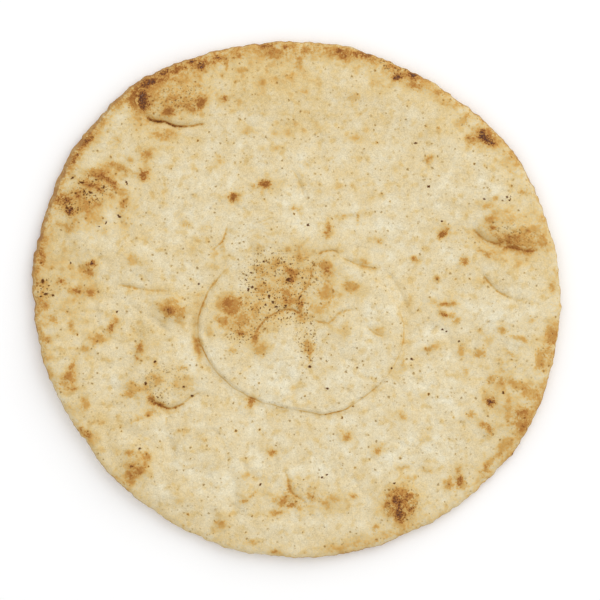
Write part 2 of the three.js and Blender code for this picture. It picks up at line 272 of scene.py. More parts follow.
RUSTY = [
    (-43.3, 64.4, 2.2, 1.5, 0.6), (-38, 66.2, 2.5, 1, 0.36), (-35, 64.8, 2.4, 1.5, 0.42),
    (-32.6, 66.9, 1.7, 2, -30, 0.62), (-24.1, 68.8, 1.4, 1.3, 0.68), (-54, 68, 3.8, 3.8, 0.48),
    (63.4, 54.9, 3.0, 2.2, -30, 0.34), (-50.5, 69.3, 1.5, 1.5, 0.5), (1.5, -2.5, 1, 3, -10, 0.42),
    (-40.3, 78.9, 2.4, 1.2, 25, 0.56), (-45.4, 75.4, 2, 1, 20, 0.5), (-30.1, 80.8, 1.7, 1, 15, 0.5),
    (-74.5, 35.9, 1, 1.4, 0.62), (-66.3, 41.9, 1.5, 1, -10, 0.68),
    (-63.5, 40.6, 2.4, 0.9, -32, 0.64), (4.6, -19, 0.7, 2.4, 0.42),
    (-69.6, 39, 1.7, 0.7, -20, 0.62), (-66.7, 37.3, 1.4, 0.7, -35, 0.64),
    (-72.5, 39.6, 1, 0.4, 0.56), (-81.3, 34.3, 0.7, 0.7, 0.54), (-52.3, 42.6, 1.7, 1.7, 0.74),
    (-50.6, 49.8, 1.7, 1.4, 10, 0.46), (-80.3, 6.5, 1.1, 1, 0.64), (-75, 3.4, 1.4, 1, 10, 0.56),
    (-70.4, 2.7, 1.9, 1, -40, 0.5), (-70.8, 9.7, 1.6, 1.4, 0.5), (-86.6, 14.5, 1, 3.1, 0.44),
    (-63, -9.4, 1, 1.6, -20, 0.66), (-53.2, -16.6, 1, 1.7, -15, 0.56),
    (-54.6, -19.7, 0.6, 0.6, 0.6), (-76.7, -22.3, 0.7, 2, -20, 0.48), (-77.7, -26, 2, 2, 0.5),
    (-76.9, -30.3, 1.7, 0.5, 0.5), (-73.5, -43.9, 0.7, 1.2, 30, 0.62),
    (-71, -45.7, 1.4, 0.9, -40, 0.58), (-49.2, -33.5, 0.9, 1.7, 30, 0.6),
    (-46.5, -35.6, 2, 0.7, -28, 0.56), (-53.5, -58.2, 2.4, 1.5, 35, 0.42),
    (-57, -59.4, 1.7, 1.5, 0.36), (-50.9, -53.6, 1.4, 2.4, 0.44), (-8.3, -52.4, 1.4, 1.2, 0.54),
    (17.3, -47.1, 1.8, 1.2, 0.48), (27.5, -51.7, 1.6, 1.4, 0.5), (-4.3, -68.6, 1.7, 1.4, 20, 0.44),
    (-1.2, -69.9, 2, 1, 0.46), (-7, -72.7, 1.7, 0.9, 20, 0.46), (9.3, -69, 2.4, 1, -30, 0.32),
    (20, -66.9, 1.2, 0.9, 0.5), (-17.7, -68.7, 1, 0.8, 0.48), (-2.2, -64.5, 0.5, 2.4, 5, 0.42),
    (-15.7, -34.9, 1.2, 1.7, -20, 0.58), (35.6, -69.5, 6, 5.6, 0.37), (-10.1, 86.6, 1.5, 0.7, 0.64),
    (-3.9, 86.6, 1.5, 0.7, 0.58), (15.3, 85.1, 2, 1, -15, 0.62), (15.8, 83, 1.7, 1, 0.5),
    (3.5, 85.7, 3, 1.2, 0.36), (34, 79.3, 4, 1, -28, 0.36), (20.6, 83.7, 2.7, 0.9, -12, 0.54),
    (-10.4, 39.7, 1.8, 1.5, 0.74), (-21.4, 35.2, 1.6, 1.4, -25, 0.72), (11.2, 24.5, 0.9, 1.5, 0.56),
    (10.5, 22.6, 0.8, 2, 0.5), (-0.5, 31.3, 1, 0.7, 0.48), (21, 28.4, 0.6, 1.9, -10, 0.5),
    (-22.2, -1.9, 4.3, 2.9, 0.42), (-23.2, -1.2, 1.9, 1.6, 0.56), (-11.7, 9.4, 2.2, 2, 0.34),
    (-12.4, 3.2, 2, 2, 0.36), (-19, -1.2, 1.2, 1.2, 0.5), (-18.9, -11.4, 2, 0.7, -20, 0.58),
    (-14.1, -13.1, 0.8, 2.4, -20, 0.5), (-7.1, 12.8, 2, 2.2, 0.36), (-2, 9.5, 2.2, 1.2, 0.44),
    (-3.2, 2.2, 2, 2, 0.4), (10.5, 11.8, 2, 2.6, 0.4), (10.5, 9.9, 1.4, 0.9, 0.54),
    (2.6, 16.2, 3.1, 2, 0.22), (3.6, -14.5, 0.8, 3.6, -5, 0.44), (49.8, 22.4, 1.8, 1.4, 15, 0.72),
    (51.9, 24, 1, 0.5, 50, 0.6), (57.7, 12.7, 1.4, 1.3, 0.62), (48.3, 7.3, 1, 0.9, 0.5),
    (40.3, 14, 1.2, 1.1, 0.56), (28.5, 20, 1.3, 1, 0.48), (50.1, -4.8, 1.2, 1, -15, 0.7),
    (50.2, -1.3, 2, 0.5, 0.52), (67.2, 24.7, 1.4, 0.7, -20, 0.58), (74.4, 18.2, 3.4, 1, -8, 0.56),
    (79.5, 17, 2.7, 1, 8, 0.46), (76, 19.6, 7, 2, -8, 0.31), (79.8, 20.2, 3.1, 1.4, 20, 0.28),
    (69.3, 20.9, 3.1, 0.7, -35, 0.44), (74.7, 21.6, 4.1, 0.7, -10, 0.42),
    (77.1, -38.3, 2.4, 1.2, 0.5), (76.5, -42.5, 2.2, 2.2, -20, 0.46), (77.3, -40.5, 3, 3.4, 0.36),
    (64.5, -42.5, 2, 1, -10, 0.5), (55.5, -61.4, 1.2, 1.5, 0.66),
    (55.2, -58.4, 0.8, 1.7, -10, 0.46), (64.8, -57.7, 2.7, 1.2, 45, 0.4),
    (-33.9, -16.5, 1.2, 3, 10, 0.42), (36.6, -21.3, 0.5, 1.4, 0.4),
]
GOLDEN = [
    (73.5, -42, 1.4, 1.4, 0.36), (-78.8, -28.9, 1.6, 1.4, 0.38), (54.1, -1, 1.2, 0.9, 0.4),
    (46.8, -0.3, 1.2, 1, 0.34), (-41.5, 69.3, 3.4, 1.4, 8, 0.34),
    (-58.5, 45.2, 4.5, 0.9, -20, 0.36), (24.4, 83.6, 2.2, 1, -18, 0.4),
    (40, 77.2, 2, 1.2, -28, 0.4), (-0.5, -0.3, 2.4, 1.9, 0.36), (10.5, -1.3, 2, 1.2, 0.34),
    (3.2, -5.4, 1.4, 1.2, 0.4), (-27.8, 15.7, 1.3, 2.2, 0.34), (-78.2, 34.8, 2.2, 1.4, 10, 0.36),
    (-61.7, 38.3, 1.6, 1.0, -20, 0.42), (72.6, 20.4, 2, 1, -10, 0.34),
    (-67.6, -13.3, 2.7, 1.9, 20, 0.4), (-71.7, -16.6, 1.4, 1.7, 0.36), (-83, -6.7, 1.5, 1.4, 0.42),
    (-77.1, -8.5, 1, 2, 0.4), (-68, -12.4, 3.1, 1.7, 0.3), (-61.7, -7.1, 1, 1.4, 0.4),
    (-85.4, -1.8, 2, 1.7, 0.38), (-84.3, -13.6, 1, 1, 0.38), (-71.7, -35.6, 1.7, 2, 0.42),
    (-68, 32.7, 2, 1.1, 5, 0.38), (-69, 28.2, 4.1, 2.4, -10, 0.28),
    (-59.3, 33.1, 1, 2.4, -10, 0.36), (-59.5, 37.2, 3.2, 1.4, -10, 0.36),
    (-77.1, 24, 1.6, 1.4, 0.4), (-79.7, 25.4, 2, 0.5, 8, 0.42), (-62.8, 46.6, 2.4, 0.6, -5, 0.44),
    (-58.2, 44, 0.7, 0.6, 0.5), (-56.8, 48.1, 1.4, 1.4, 0.34), (-67.5, 43.2, 3.7, 1.7, -5, 0.44),
    (-56.1, 13.2, 2, 1.6, 0.36), (-50.9, 20.9, 0.9, 1, 0.32), (-37.3, 26.1, 1, 0.8, 0.38),
    (-42.7, -3.2, 4.0, 2.6, 0.31), (-39.3, -4.8, 1.7, 1.9, 0.42), (-42.7, -0.7, 2.4, 1, 0.4),
    (-63.1, 35.7, 0.7, 0.7, 0.46), (-47.5, 56.7, 2.7, 0.9, -10, 0.42),
    (-42.4, 56.8, 2.4, 0.8, 8, 0.42), (-45.1, 55, 2, 0.7, 0.36), (-61.1, 54.6, 1, 0.7, 0.38),
    (-55.4, -30, 2.7, 2.7, 0.34), (-57.2, -32.5, 2, 1.6, 0.42), (-47.2, -27.7, 1.7, 2, 0.3),
    (-38.6, -28.1, 4.1, 3.1, 0.3), (-38.7, -22.9, 1.2, 0.5, 0.46), (-50.2, -38.9, 2, 1.4, 10, 0.44),
    (-53.9, -40.7, 2.7, 0.6, 25, 0.38), (-56.1, -52.2, 1.5, 1.4, 0.4),
    (-56.3, -61.4, 3.4, 1.4, 30, 0.38), (-17.4, -60.2, 1.7, 1.7, 0.34),
    (-15.3, -66.9, 1.7, 0.5, 45, 0.38), (-2.9, -68.2, 4.4, 2.7, 0.26),
    (5.6, -67.4, 1.7, 1, -30, 0.42), (13.4, -67.5, 1.7, 0.9, 0.32), (26.9, -77.6, 1.4, 1.2, 0.44),
    (-25.5, -76.5, 2, 1.4, 20, 0.4), (-7.3, -85.6, 1.2, 0.7, 0.44), (-15.3, -82.4, 1.4, 0.9, 0.34),
    (22.3, -82.2, 11.6, 2, 12, 0.24), (-7.3, 84.4, 3.4, 2, 0.37), (1.4, 80.8, 1.4, 2.7, 0.36),
    (-11.6, 74.6, 0.9, 1.7, 0.36), (-18.3, 78.9, 2, 1, 0.36), (-23.8, 80.8, 1.2, 2, 0.42),
    (26.5, 76, 4, 2, -20, 0.28), (-19.3, 83.2, 0.7, 1.4, 0.4), (2.8, 71.1, 1, 0.8, 0.4),
    (19.6, 69.3, 1.7, 1.7, 0.32), (40.7, 73.6, 2.2, 1.4, -30, 0.48), (48.4, 70.7, 1.7, 1, 0.34),
    (-7.3, 57.3, 1.4, 1.4, 0.36), (-15.9, 58.3, 2.4, 1.4, 0.3), (20.1, 55.4, 2, 1, -15, 0.34),
    (45.7, 48.2, 1.4, 0.9, 35, 0.42), (-26.2, 47.4, 1, 1, 0.4), (-34, 44.6, 1, 0.5, 0.34),
    (-14.5, 38.6, 1.2, 1, 0.44), (16.6, 28.8, 1.4, 0.5, 0.38), (-37.8, 26.2, 1.4, 0.7, 0.38),
    (3.9, 46.1, 1, 0.9, 0.32), (59.7, 54.3, 1.9, 1.5, 0.44), (57.2, 61.4, 1.7, 2.7, -45, 0.34),
    (73.3, 47, 2.6, 4, 35, 0.3), (77.4, 36.8, 1.5, 0.9, 0.42), (67.9, 34.9, 1, 0.9, 0.4),
    (64.8, 31.8, 1.7, 0.9, 0.38), (65.8, 27.4, 1.4, 1, 0.36), (81.5, 24, 2.7, 1.7, 0.28),
    (83.9, 19.9, 1.7, 2.4, 0.4), (63.1, 17, 1.5, 0.7, -15, 0.4), (65.3, 15.3, 1.7, 1, -35, 0.44),
    (87.2, 4.6, 1.2, 1.6, 0.38), (54.9, -6.8, 1.5, 1.1, 20, 0.42), (70.1, -10.3, 1.7, 1.2, 0.42),
    (76.4, -12.9, 3.1, 1, -28, 0.42), (80.4, -6.8, 1.7, 0.9, 0.38), (66, -14.1, 2, 1.6, 0.33),
    (45.9, -16.4, 2.2, 1.2, 10, 0.44), (56.3, -17.4, 1.2, 2.4, 0.4), (58.2, -24.6, 1, 1.6, 0.32),
    (70.7, -24, 0.8, 1.6, 0.36), (62.9, -18.3, 2.2, 1.3, 15, 0.46), (73.2, -18.3, 1.5, 0.9, 0.4),
    (87.2, -11.6, 2.4, 3.4, 0.42), (66, -55.5, 3, 1.5, 45, 0.34), (84.5, 27, 1.5, 1.5, 0.3),
    (76, 28.5, 2.5, 1.5, 0.24), (83.4, -20.4, 1.8, 4.1, -10, 0.42), (86.2, -17.5, 2, 1.2, 0.34),
    (66.4, -26.8, 1.4, 1.5, 0.44), (70.1, -27, 1.4, 2, 0.42), (75.8, -28.8, 4.4, 1.4, -25, 0.34),
    (72.3, -36.9, 1.4, 4.8, 0.3), (59.5, -39, 1.6, 1.4, 0.46), (66.3, -44.5, 1.6, 1.8, 0.46),
    (51.6, -62.6, 1.8, 1.7, 0.44), (57, -63, 2.5, 2, 0.36), (44.9, -58.4, 2, 0.6, 0.4),
    (39.3, -61, 1.7, 0.9, 0.34), (37.1, -56.9, 1.7, 0.6, 0.36), (36.3, -40.1, 1.3, 1.2, 0.42),
    (44.2, -47.4, 2, 1.6, 0.24), (-18, -7.3, 2.5, 2.5, 0.34), (-12.4, -16.8, 2.4, 2, 0.38),
    (-21.6, -17.2, 1.2, 0.7, 0.4), (-29.3, -11.1, 1.2, 1.5, 0.34), (10.5, 2, 3.1, 2.7, 0.4),
    (7.2, -3.5, 2.7, 1.7, 0.32), (18.7, 4.7, 2.4, 2.4, 0.4), (5.1, -16.2, 1.5, 2, 0.36),
    (17.1, -11.1, 2.7, 2, 20, 0.27), (28, -11.2, 2.4, 1.4, -30, 0.26), (-12.4, 17.3, 2, 1.7, 0.28),
    (-25, 17.3, 0.8, 1.7, 0.34), (-25, -7, 2, 2, 0.38), (23.6, 12.9, 2.4, 0.8, -10, 0.34),
    (-5, 7.7, 4.8, 6.8, 0.14), (11.1, 6.6, 3.1, 4.8, 0.24), (53.3, -5.3, 1.7, 1, 0.36),
    (79.5, -31.5, 3, 2, -40, 0.34), (71.2, -50, 4.1, 1.7, 55, 0.36),
]
# Broad mottled patches: middle, half length, half width, turn in degrees, how baked.
PATCHES = [
    (-38, 70.5, 11, 5.5, 10, 0.32), (-36, 78, 11, 2, 22, 0.14), (-51.5, 63, 6, 4.5, 20, 0.22),
    (-68, 39.5, 9, 5, 25, 0.28), (-74, 32, 6, 4, 0.24), (-70, 26, 9, 4.5, -10, 0.14),
    (-58.5, 28, 2.2, 7, -5, 0.15), (-77, 5, 8, 14, 0.16), (-46, -28.5, 12, 8, 0.09),
    (-54.6, -56.7, 5, 6, 0.16), (-2, 7, 14, 12, 0.19), (-8, -2, 10, 9, 0.14),
    (72.7, 14.5, 8, 3, -5, 0.16), (-19, -6.5, 8, 7, 0.27), (72, 22, 13, 7, -12, 0.09),
    (72.7, 28.8, 9, 4, 0.2), (60, 22, 8, 4, -20, 0.1), (-62, 31, 9, 5, -20, 0.12),
    (64, 55.6, 5, 4, 0.18), (74.4, -32.5, 9, 12, 0.16), (36, -69.3, 7.5, 7, 0.18),
    (3, -68, 17, 6, -8, 0.14), (21.6, -82, 12, 3, 8, 0.1), (-4, 84, 19, 3.4, 0.1),
    (18, 83.5, 9, 2.4, -12, 0.2), (35, 76.7, 9, 2.7, -28, 0.16),
]
# How baked the rim is, at equal angles from +X towards +Y.
RIM_BAKING = [
    0.2, 0.12, 0.22, 0.28, 0.28, 0.26, 0.3, 0.34, 0.5, 0.46, 0.5, 0.5,
    0.46, 0.3, 0.14, 0.1, 0.1, 0.14, 0.12, 0.2, 0.22, 0.2, 0.24, 0.3,
]
RIM_BAND = 8.0  # width in which the rim is baked
# How wide the brown side of the loaf shows from above, in millimetres, at the same angles.
SIDE_SHOWN = [
    0.3, 0.4, 0.7, 0.6, 0.5, 0.6, 0.5, 0.6, 0.9, 1.3, 1.8, 1.6,
    1.0, 0.6, 0.5, 0.6, 0.4, 0.4, 0.5, 0.7, 0.5, 0.4, 0.6, 0.4,
]
# The brown line round the middle blister: direction in degrees, half width in degrees, strength.
BORDER_LINE = [
    (160, 22, 0.35), (190, 8, 0.5), (212, 16, 0.3), (232, 8, 0.4), (250, 12, 0.28), (275, 10, 0.32),
    (297, 12, 0.55), (318, 12, 0.24), (345, 10, 0.16), (4, 14, 0.2),
]
PLAIN_CRUST = 0.15  # how baked the crust is where it has no mark
MARK_HALO = 0.28  # how strong the faint ring round a mark is, beside the mark
HALO_SPREAD = 3.0  # how much wider than its mark the ring is, in squared half sizes
MARK_REACH = 12.0  # where a mark's halo ends, in squared half sizes
MARK_SIGHT = 2.5  # how far from its edge a mark is followed
MARKS_LOOK = 1.005  # marks are placed as they look from above, where the raised crust looks larger
MARKS_SHIFT = 0.17  # how far right and down the marks move

# Where the crust is paler, above 0, or yellower: middle, half length, half width, turn, amount.
# The two darker strips at (-34, -13) and (38.5, -8) are painted shade: the shadow that falls in the
# groove just outside the middle blister's border.
TONES_AND_SHADE = [
    (8, -30, 26, 14, 5, 0.5), (-22, 38, 20, 24, 0.2), (-62, 62, 5, 14, -45, 0.4),
    (-60, -45, 22, 22, -0.2), (-9, 64, 14, 18, -0.7), (-48, 56, 20, 7, -5, -0.6),
    (-52, -2, 20, 9, -12, -0.6), (56, 12, 10, 16, -0.5), (0, 64, 60, 22, -0.25),
    (10, -64, 55, 20, 0.34), (79, 6, 11, 9, -0.5), (-32, -75, 20, 8, -15, -0.3),
    (-35, 72, 26, 10, 10, -0.25), (-48.7, -65.6, 3, 2, 0.3), (-18, -76, 8, 4, -0.6),
    (42, -60, 8, 6, -0.4), (-25, 70, 8, 6, 0.7), (2, 77, 18, 5, -0.6), (52, 50, 12, 4, -5, -0.4),
    (10, 68, 36, 9, -0.5), (55, 50, 16, 8, -40, -0.25), (-76, 15, 8, 16, -0.45),
    (-66, -43, 9, 9, -1.3), (26, -12, 9, 16, 0.55), (38.5, -8, 2.5, 6, 10, -0.4),
    (-34, -13, 1.6, 9, 8, -1.6), (27, -34, 9, 4, 25, -0.5), (45, -45, 20, 17, 0.2),
    (75, -8, 9, 8, 0.4), (78, -30, 6, 9, 0.4), (-45, -40, 7, 5, -0.5), (-82, 15, 5, 13, -1),
    (-67, 7, 6, 5, -0.7), (-83, -8, 4, 12, -0.4),
]
# Where small dark flecks gather: middle, half length, half width, turn, density.
FLECKS = [
    (-9, 5, 11, 13, 20, 1.1), (6, 10, 8, 8, 0.5), (-19, -12, 6, 4, 0.7), (3.7, -14, 2.4, 8, 1),
    (3, -17, 18, 14, 0.34), (-3, -2, 6, 4, -20, 1), (-70, 37, 9, 6, 20, 0.9), (-77, 31, 4, 3, 1.0),
    (-40, 68, 12, 7, 10, 0.5), (-45, -27, 13, 8, 0.5), (-85.5, 4, 3, 5, 1.0),
    (72, 34, 2.2, 1.6, 1.2), (74, 22, 12, 6, -10, 0.5), (36, -69, 8, 8, 0.6), (1, -66, 14, 7, 0.35),
    (33, 80.2, 6, 2.5, -25, 1.4), (56, 23.3, 2, 2, 0.6), (-46, -35, 5, 2.5, -20, 0.5),
]
# Dark pins and dashes: middle, half length, half width, turn.
PINS = [
    (-60.3, 28.3, 1.02, 0.34, -40), (-57.7, 39.6, 0.95, 0.31, -62), (-64.7, 26, 0.75, 0.34, 60),
    (-67, 24.8, 0.51, 0.34, 0), (-76.1, 41.3, 0.88, 0.34, 45), (-69.9, 36.3, 0.88, 0.41, -20),
    (-72.1, 36.7, 0.54, 0.68, 0), (-72.8, 39.7, 1.02, 0.37, -10), (-65.5, 38.1, 0.48, 0.61, 0),
    (-77.9, 31.1, 0.68, 0.48, 0), (-76.2, 31, 0.54, 0.48, 0), (4.5, -22.8, 0.65, 0.54, 0),
    (39.1, -20.2, 0.58, 0.54, 0), (-33.3, 5.3, 0.44, 0.44, 0), (10.5, -30.2, 0.61, 0.37, 0),
    (32.3, -23.4, 0.41, 0.41, 0), (70.1, -31.7, 0.51, 0.51, 0), (55.2, -14.1, 0.44, 0.44, 0),
    (49.6, -10.2, 0.51, 0.37, 0), (51, -10.9, 0.48, 0.34, 0), (49.4, 26.6, 0.44, 0.41, 0),
    (71.5, 34.7, 0.44, 0.37, 0), (72.3, 33.7, 0.41, 0.34, 0), (63.8, 34.1, 0.68, 0.34, 0),
    (44.8, 38.4, 0.48, 0.48, 0), (40.5, 53.1, 0.71, 0.34, 15), (3.9, 25.3, 0.48, 0.44, 0),
    (-48, -21.1, 0.58, 0.54, 0), (-51.2, -28.5, 0.54, 0.68, 0), (-38.3, -29.6, 0.61, 0.44, -20),
    (-35.4, -32.8, 0.61, 0.41, -30), (-53.2, -50.6, 0.54, 0.44, 0), (33.2, -62.4, 0.54, 0.41, 0),
    (10.3, -59.6, 0.54, 0.34, 20), (8.7, -60.4, 0.51, 0.34, 30), (-12.3, -62.8, 0.48, 0.48, 0),
    (-61, -4.1, 0.48, 0.54, 0), (-76.7, 12.4, 0.44, 0.44, 0), (-86.2, 6.2, 0.61, 0.88, 0),
    (-85.2, 1.9, 0.95, 0.41, 15), (-86.9, 1, 0.51, 0.37, 0), (-82.7, 1.4, 0.61, 0.34, 0),
    (-15.1, 4.2, 0.61, 0.48, 0), (-16.4, 3.4, 0.48, 0.61, 0), (-15.4, 9.1, 0.48, 0.34, 0),
    (-9.3, 1.1, 0.54, 0.61, 0), (-8, -0.9, 0.68, 0.54, -40), (-6.9, -2.5, 0.68, 0.44, 0),
    (-10.4, -1.8, 0.51, 0.44, 0), (-3.6, -2, 0.61, 0.44, 0), (1.3, 1, 1.09, 0.34, 48),
    (-11.1, 12.9, 0.54, 0.37, 0), (-2.9, 6.8, 1.02, 0.54, 20),
]
PIN_DEPTH = 1000.0  # a pin reaches right through the crust
MARK_SEED = 11
STRAY_MARKS = 130
UNDERSIDE_MARKS = 70
UNDERSIDE_SPREAD = 2.4  # how much larger the underside's marks are than the stray ones above
UNDERSIDE_MOTTLE = 0.16
TOP_BAND = (0.25, 0.6)  # between them the side's browning turns into the crust's
# How far points are shaken out of place for the marks' uneven outlines, and the two sizes of that.
SHAKE, SHAKE_SIZES = 0.7, (2.3, 5.5)

# ---------------------------------------------------------------- the crust's material

# Noises: size in millimetres, detail, roughness.
NOISES = {
    "broad": (12.0, 2.0, 0.5), "patchy": (4.6, 3.0, 0.6), "blotchy": (3.1, 1.0, 0.5),
    "mealy": (1.9, 3.0, 0.65), "grain": (0.8, 2.0, 0.65), "dusty": (0.4, 1.0, 0.6),
}
# Specks: size of the cells, a speck's radius, share of the cells that have one.
SPECKS = {
    "faint": (1.6, 0.34, 0.6), "bran": (2.1, 0.34, 0.47), "dark": (4.1, 0.35, 0.27),
    "dense": (1.0, 0.32, 0.8), "dust": (0.7, 0.24, 0.7), "flour": (2.7, 0.34, 0.4),
}
CRACKLE = 0.045  # half width of the fine cracks, in units of the noise that they follow
SPECK_SHAKE = 0.8  # how far the specks' outlines are shaken, in millimetres


# ---------------------------------------------------------------- properties

def length(name, description, default):
    return FloatProperty(name=name, description=description, default=default, min=0.0, unit="LENGTH")


def colour(name, description, default):
    return FloatVectorProperty(
        name=name, description=description, default=default, size=3, min=0.0, max=1.0,
        subtype="COLOR_GAMMA",
    )


def factor(name, description, default, top):
    return FloatProperty(
        name=name, description=description, default=default, min=0.0, max=top, subtype="FACTOR")


def power(name, description, default):
    return FloatProperty(name=name, description=description, default=default, min=0.0, unit="POWER")


class PitaSizes(bpy.types.PropertyGroup):
    """Sizes of the loaf and its relief."""

    body: length("Body", "Thickness between the middle blister and the rim", 0.0059)
    edge: length("Edge", "Thickness where the two crusts meet, on average", 0.0046)
    edge_varies: length("Edge varies", "How much the edge's thickness goes up and down", 0.0005)
    rim_band: length("Rim band", "Width in which the body thins to the edge", 0.013)
    blister: length("Blister", "Height of the middle blister's border", 0.0008)
    crimps: length("Crimps", "Depth of the small nicks in the outline", 0.0005)
    wrinkles: length("Wrinkles", "Depth of the fine net of creases", 0.0004)
    lumps: length("Lumps", "Height of the small lumps in the crust", 0.0002)
    bubbles: length("Bubbles", "Height of the bubbles under the browned spots", 0.0003)
    seam: length("Seam", "Depth of the line round the edge where the crusts meet", 0.0004)


class PitaColours(bpy.types.PropertyGroup):
    """Colours of the crust, from unbaked to charred."""

    pale: colour("Pale", "Floury crust", (0.900, 0.864, 0.754))
    cream: colour("Cream", "Crust with no browning", (0.868, 0.809, 0.666))
    straw: colour("Straw", "First colour of baking", (0.838, 0.737, 0.522))
    golden: colour("Golden", "Golden crust", (0.790, 0.625, 0.350))
    brown: colour("Brown", "Browned crust", (0.690, 0.475, 0.225))
    dark: colour("Dark", "Dark spots", (0.535, 0.325, 0.140))
    black: colour("Black", "The darkest spots", (0.370, 0.220, 0.110))
    char: colour("Char", "The charred skin of a blister", (0.310, 0.190, 0.150))
    ash: colour("Ash", "Pale grains in the charred skin", (0.720, 0.620, 0.520))
    wall: colour("Wall", "The side of the loaf", (0.640, 0.480, 0.305))
    bran: colour("Bran", "Flecks of bran", (0.400, 0.230, 0.030))
    pin: colour("Pin", "The darkest flecks", (0.370, 0.210, 0.070))


class PitaStage(bpy.types.PropertyGroup):
    """The studio."""

    floor: colour("Floor", "Colour of the floor", (0.985, 0.985, 0.985))
    sky: factor("Sky", "Strength of the even light from all round", 0.715, 5.0)
    key: power("Key", "Power of the key light", 8.9)
    overhead: power("Overhead", "Power of the light overhead", 3.0)
    distance: length("Camera distance", "Height of the camera over the table", 1.1)
    frame_width: length("Frame width", "Width of the view at the loaf", 0.2042)


# ---------------------------------------------------------------- number helpers

# The directions in which the noise may slope at a corner of its lattice.
NOISE_SLOPES = np.array(
    [way for way in itertools.product((-1, 0, 1), repeat=3) if np.abs(way).sum() == 2])


def smoothstep(value, low, high):
    share = np.clip((value - low) / (high - low), 0.0, 1.0)
    return share * share * (3 - 2 * share)


def bell(distance, half_width):
    return np.exp(-((distance / half_width) ** 2))


def blend(first, second, share):
    return first + (second - first) * share


def radius_at(radii, angle):
    """Radii at any angles, on a smooth closed curve through values at equal angles."""
    values = np.array(radii)
    count = len(values)
    place = (angle / TURN * count) % count
    start = np.floor(place).astype(int)
    a, b, c, d = (values[(start + step) % count] for step in (-1, 0, 1, 2))
    t = place - start
    return b + 0.5 * t * (c - a + t * (2 * a - 5 * b + 4 * c - d + t * (3 * (b - c) + d - a)))


def degrees_from(direction, angle):
    gap = np.abs(np.degrees(angle) - direction) % 360
    return np.minimum(gap, 360 - gap)


def noise_at(points, size, seed):
    """Smooth noise round 0, nearly always within 0.8 of it, with features of this size, at points
    in millimetres."""
    places = points / size
    cells = np.floor(places).astype(int)
    within = places - cells
    fade = within ** 3 * (within * (within * 6 - 15) + 10)
    shuffled = np.random.default_rng(seed).permutation(256)
    total = np.zeros(len(points))
    for corner in itertools.product((0, 1), repeat=3):
        column, row, layer = (cells + corner).T
        lot = shuffled[(shuffled[(shuffled[column % 256] + row) % 256] + layer) % 256]
        slopes = NOISE_SLOPES[lot % len(NOISE_SLOPES)]
        weight = np.prod(np.where(corner, fade, 1 - fade), axis=1)
        total += weight * ((within - corner) * slopes).sum(axis=1)
    return total


def oval_share(x, y, middle_x, middle_y, half_length, half_width, turn=0):
    """Squared distance from an oval's middle, which is 1 on its edge."""
    cosine, sine = math.cos(math.radians(turn)), math.sin(math.radians(turn))
    along = (x - middle_x) * cosine + (y - middle_y) * sine
    across = (y - middle_y) * cosine - (x - middle_x) * sine
    return (along / half_length) ** 2 + (across / half_width) ** 2


def curve_through(points):
    """Points on a smooth open curve through the given ones."""
    ends = [points[0], *points, points[-1]]
    curve = []
    for a, b, c, d in zip(ends, ends[1:], ends[2:], ends[3:]):
        for step in range(CURVE_STEPS):
            t = step / CURVE_STEPS
            curve.append(tuple(
                q + 0.5 * t * (r - p + t * (2 * p - 5 * q + 4 * r - o + t * (3 * (q - r) + o - p)))
                for p, q, r, o in zip(a, b, c, d)))
    return [*curve, points[-1]]


def along_run(run, x, y):
    """Distance from a run of points, positive on its left, and the share of its length there."""
    curve = curve_through(run)
    gap, place = np.full(x.shape, np.inf), np.zeros(x.shape)
    passed = 0.0
    for (x0, y0), (x1, y1) in zip(curve, curve[1:]):
        dx, dy = x1 - x0, y1 - y0
        length = math.hypot(dx, dy)
        along = np.clip(((x - x0) * dx + (y - y0) * dy) / length ** 2, 0.0, 1.0)
        away_x, away_y = x - x0 - along * dx, y - y0 - along * dy
        distance = np.hypot(away_x, away_y)
        nearer = distance < np.abs(gap)
        gap = np.where(nearer, np.where(dx * away_y > dy * away_x, distance, -distance), gap)
        place = np.where(nearer, passed + along * length, place)
        passed += length
    return gap, place / passed


def wave_height(waves, x, y):
    height = np.zeros(x.shape)
    for wave_length, direction, rise, start in waves:
        along = x * math.cos(math.radians(direction)) + y * math.sin(math.radians(direction))
        height += rise * np.sin(TURN * along / wave_length + math.radians(start))
    return height


# ---------------------------------------------------------------- the loaf's form

def cross_section():
    """Half of the turned disc's section, from the underside's middle round the edge to the crust's
    middle: radius in millimetres, and 0 on the underside to 1 on the crust."""
    straight = LOAF_RADIUS - EDGE_ROUND
    inner, outer = BLISTER["radius"] + BORDER_FROM, BLISTER["radius"] + BORDER_TO
    section = [(straight * i / UNDERSIDE_RINGS, 0.0) for i in range(UNDERSIDE_RINGS + 1)]
    for i in range(1, EDGE_STEPS):
        swing = math.pi * i / EDGE_STEPS
        section.append((straight + EDGE_ROUND * math.sin(swing), (1 - math.cos(swing)) / 2))
    section += [(outer + (straight - outer) * i / BODY_RINGS, 1.0) for i in range(BODY_RINGS, 0, -1)]
    section += [(inner + (outer - inner) * i / BORDER_RINGS, 1.0) for i in range(BORDER_RINGS, 0, -1)]
    section += [(inner * (i / BLISTER_RINGS) ** 0.8, 1.0) for i in range(BLISTER_RINGS, -1, -1)]
    return section


def turned_disc(name, section):
    """A mesh object of the section turned about Z, both faces a millimetre apart."""
    shell = bmesh.new()
    points = [shell.verts.new((radius * MM, 0.0, side * MM)) for radius, side in section]
    edges = [shell.edges.new(pair) for pair in zip(points, points[1:])]
    bmesh.ops.spin(
        shell, geom=points + edges, cent=(0, 0, 0), axis=(0, 0, 1), angle=TURN, steps=SECTORS,
        use_merge=True, use_duplicate=False,
    )
    bmesh.ops.remove_doubles(shell, verts=shell.verts, dist=1e-7)
    bmesh.ops.recalc_face_normals(shell, faces=shell.faces)
    mesh = bpy.data.meshes.new(name)
    shell.to_mesh(mesh)
    shell.free()
    mesh.shade_smooth()
    loaf = bpy.data.objects.new(name, mesh)
    bpy.context.scene.collection.objects.link(loaf)
    return loaf


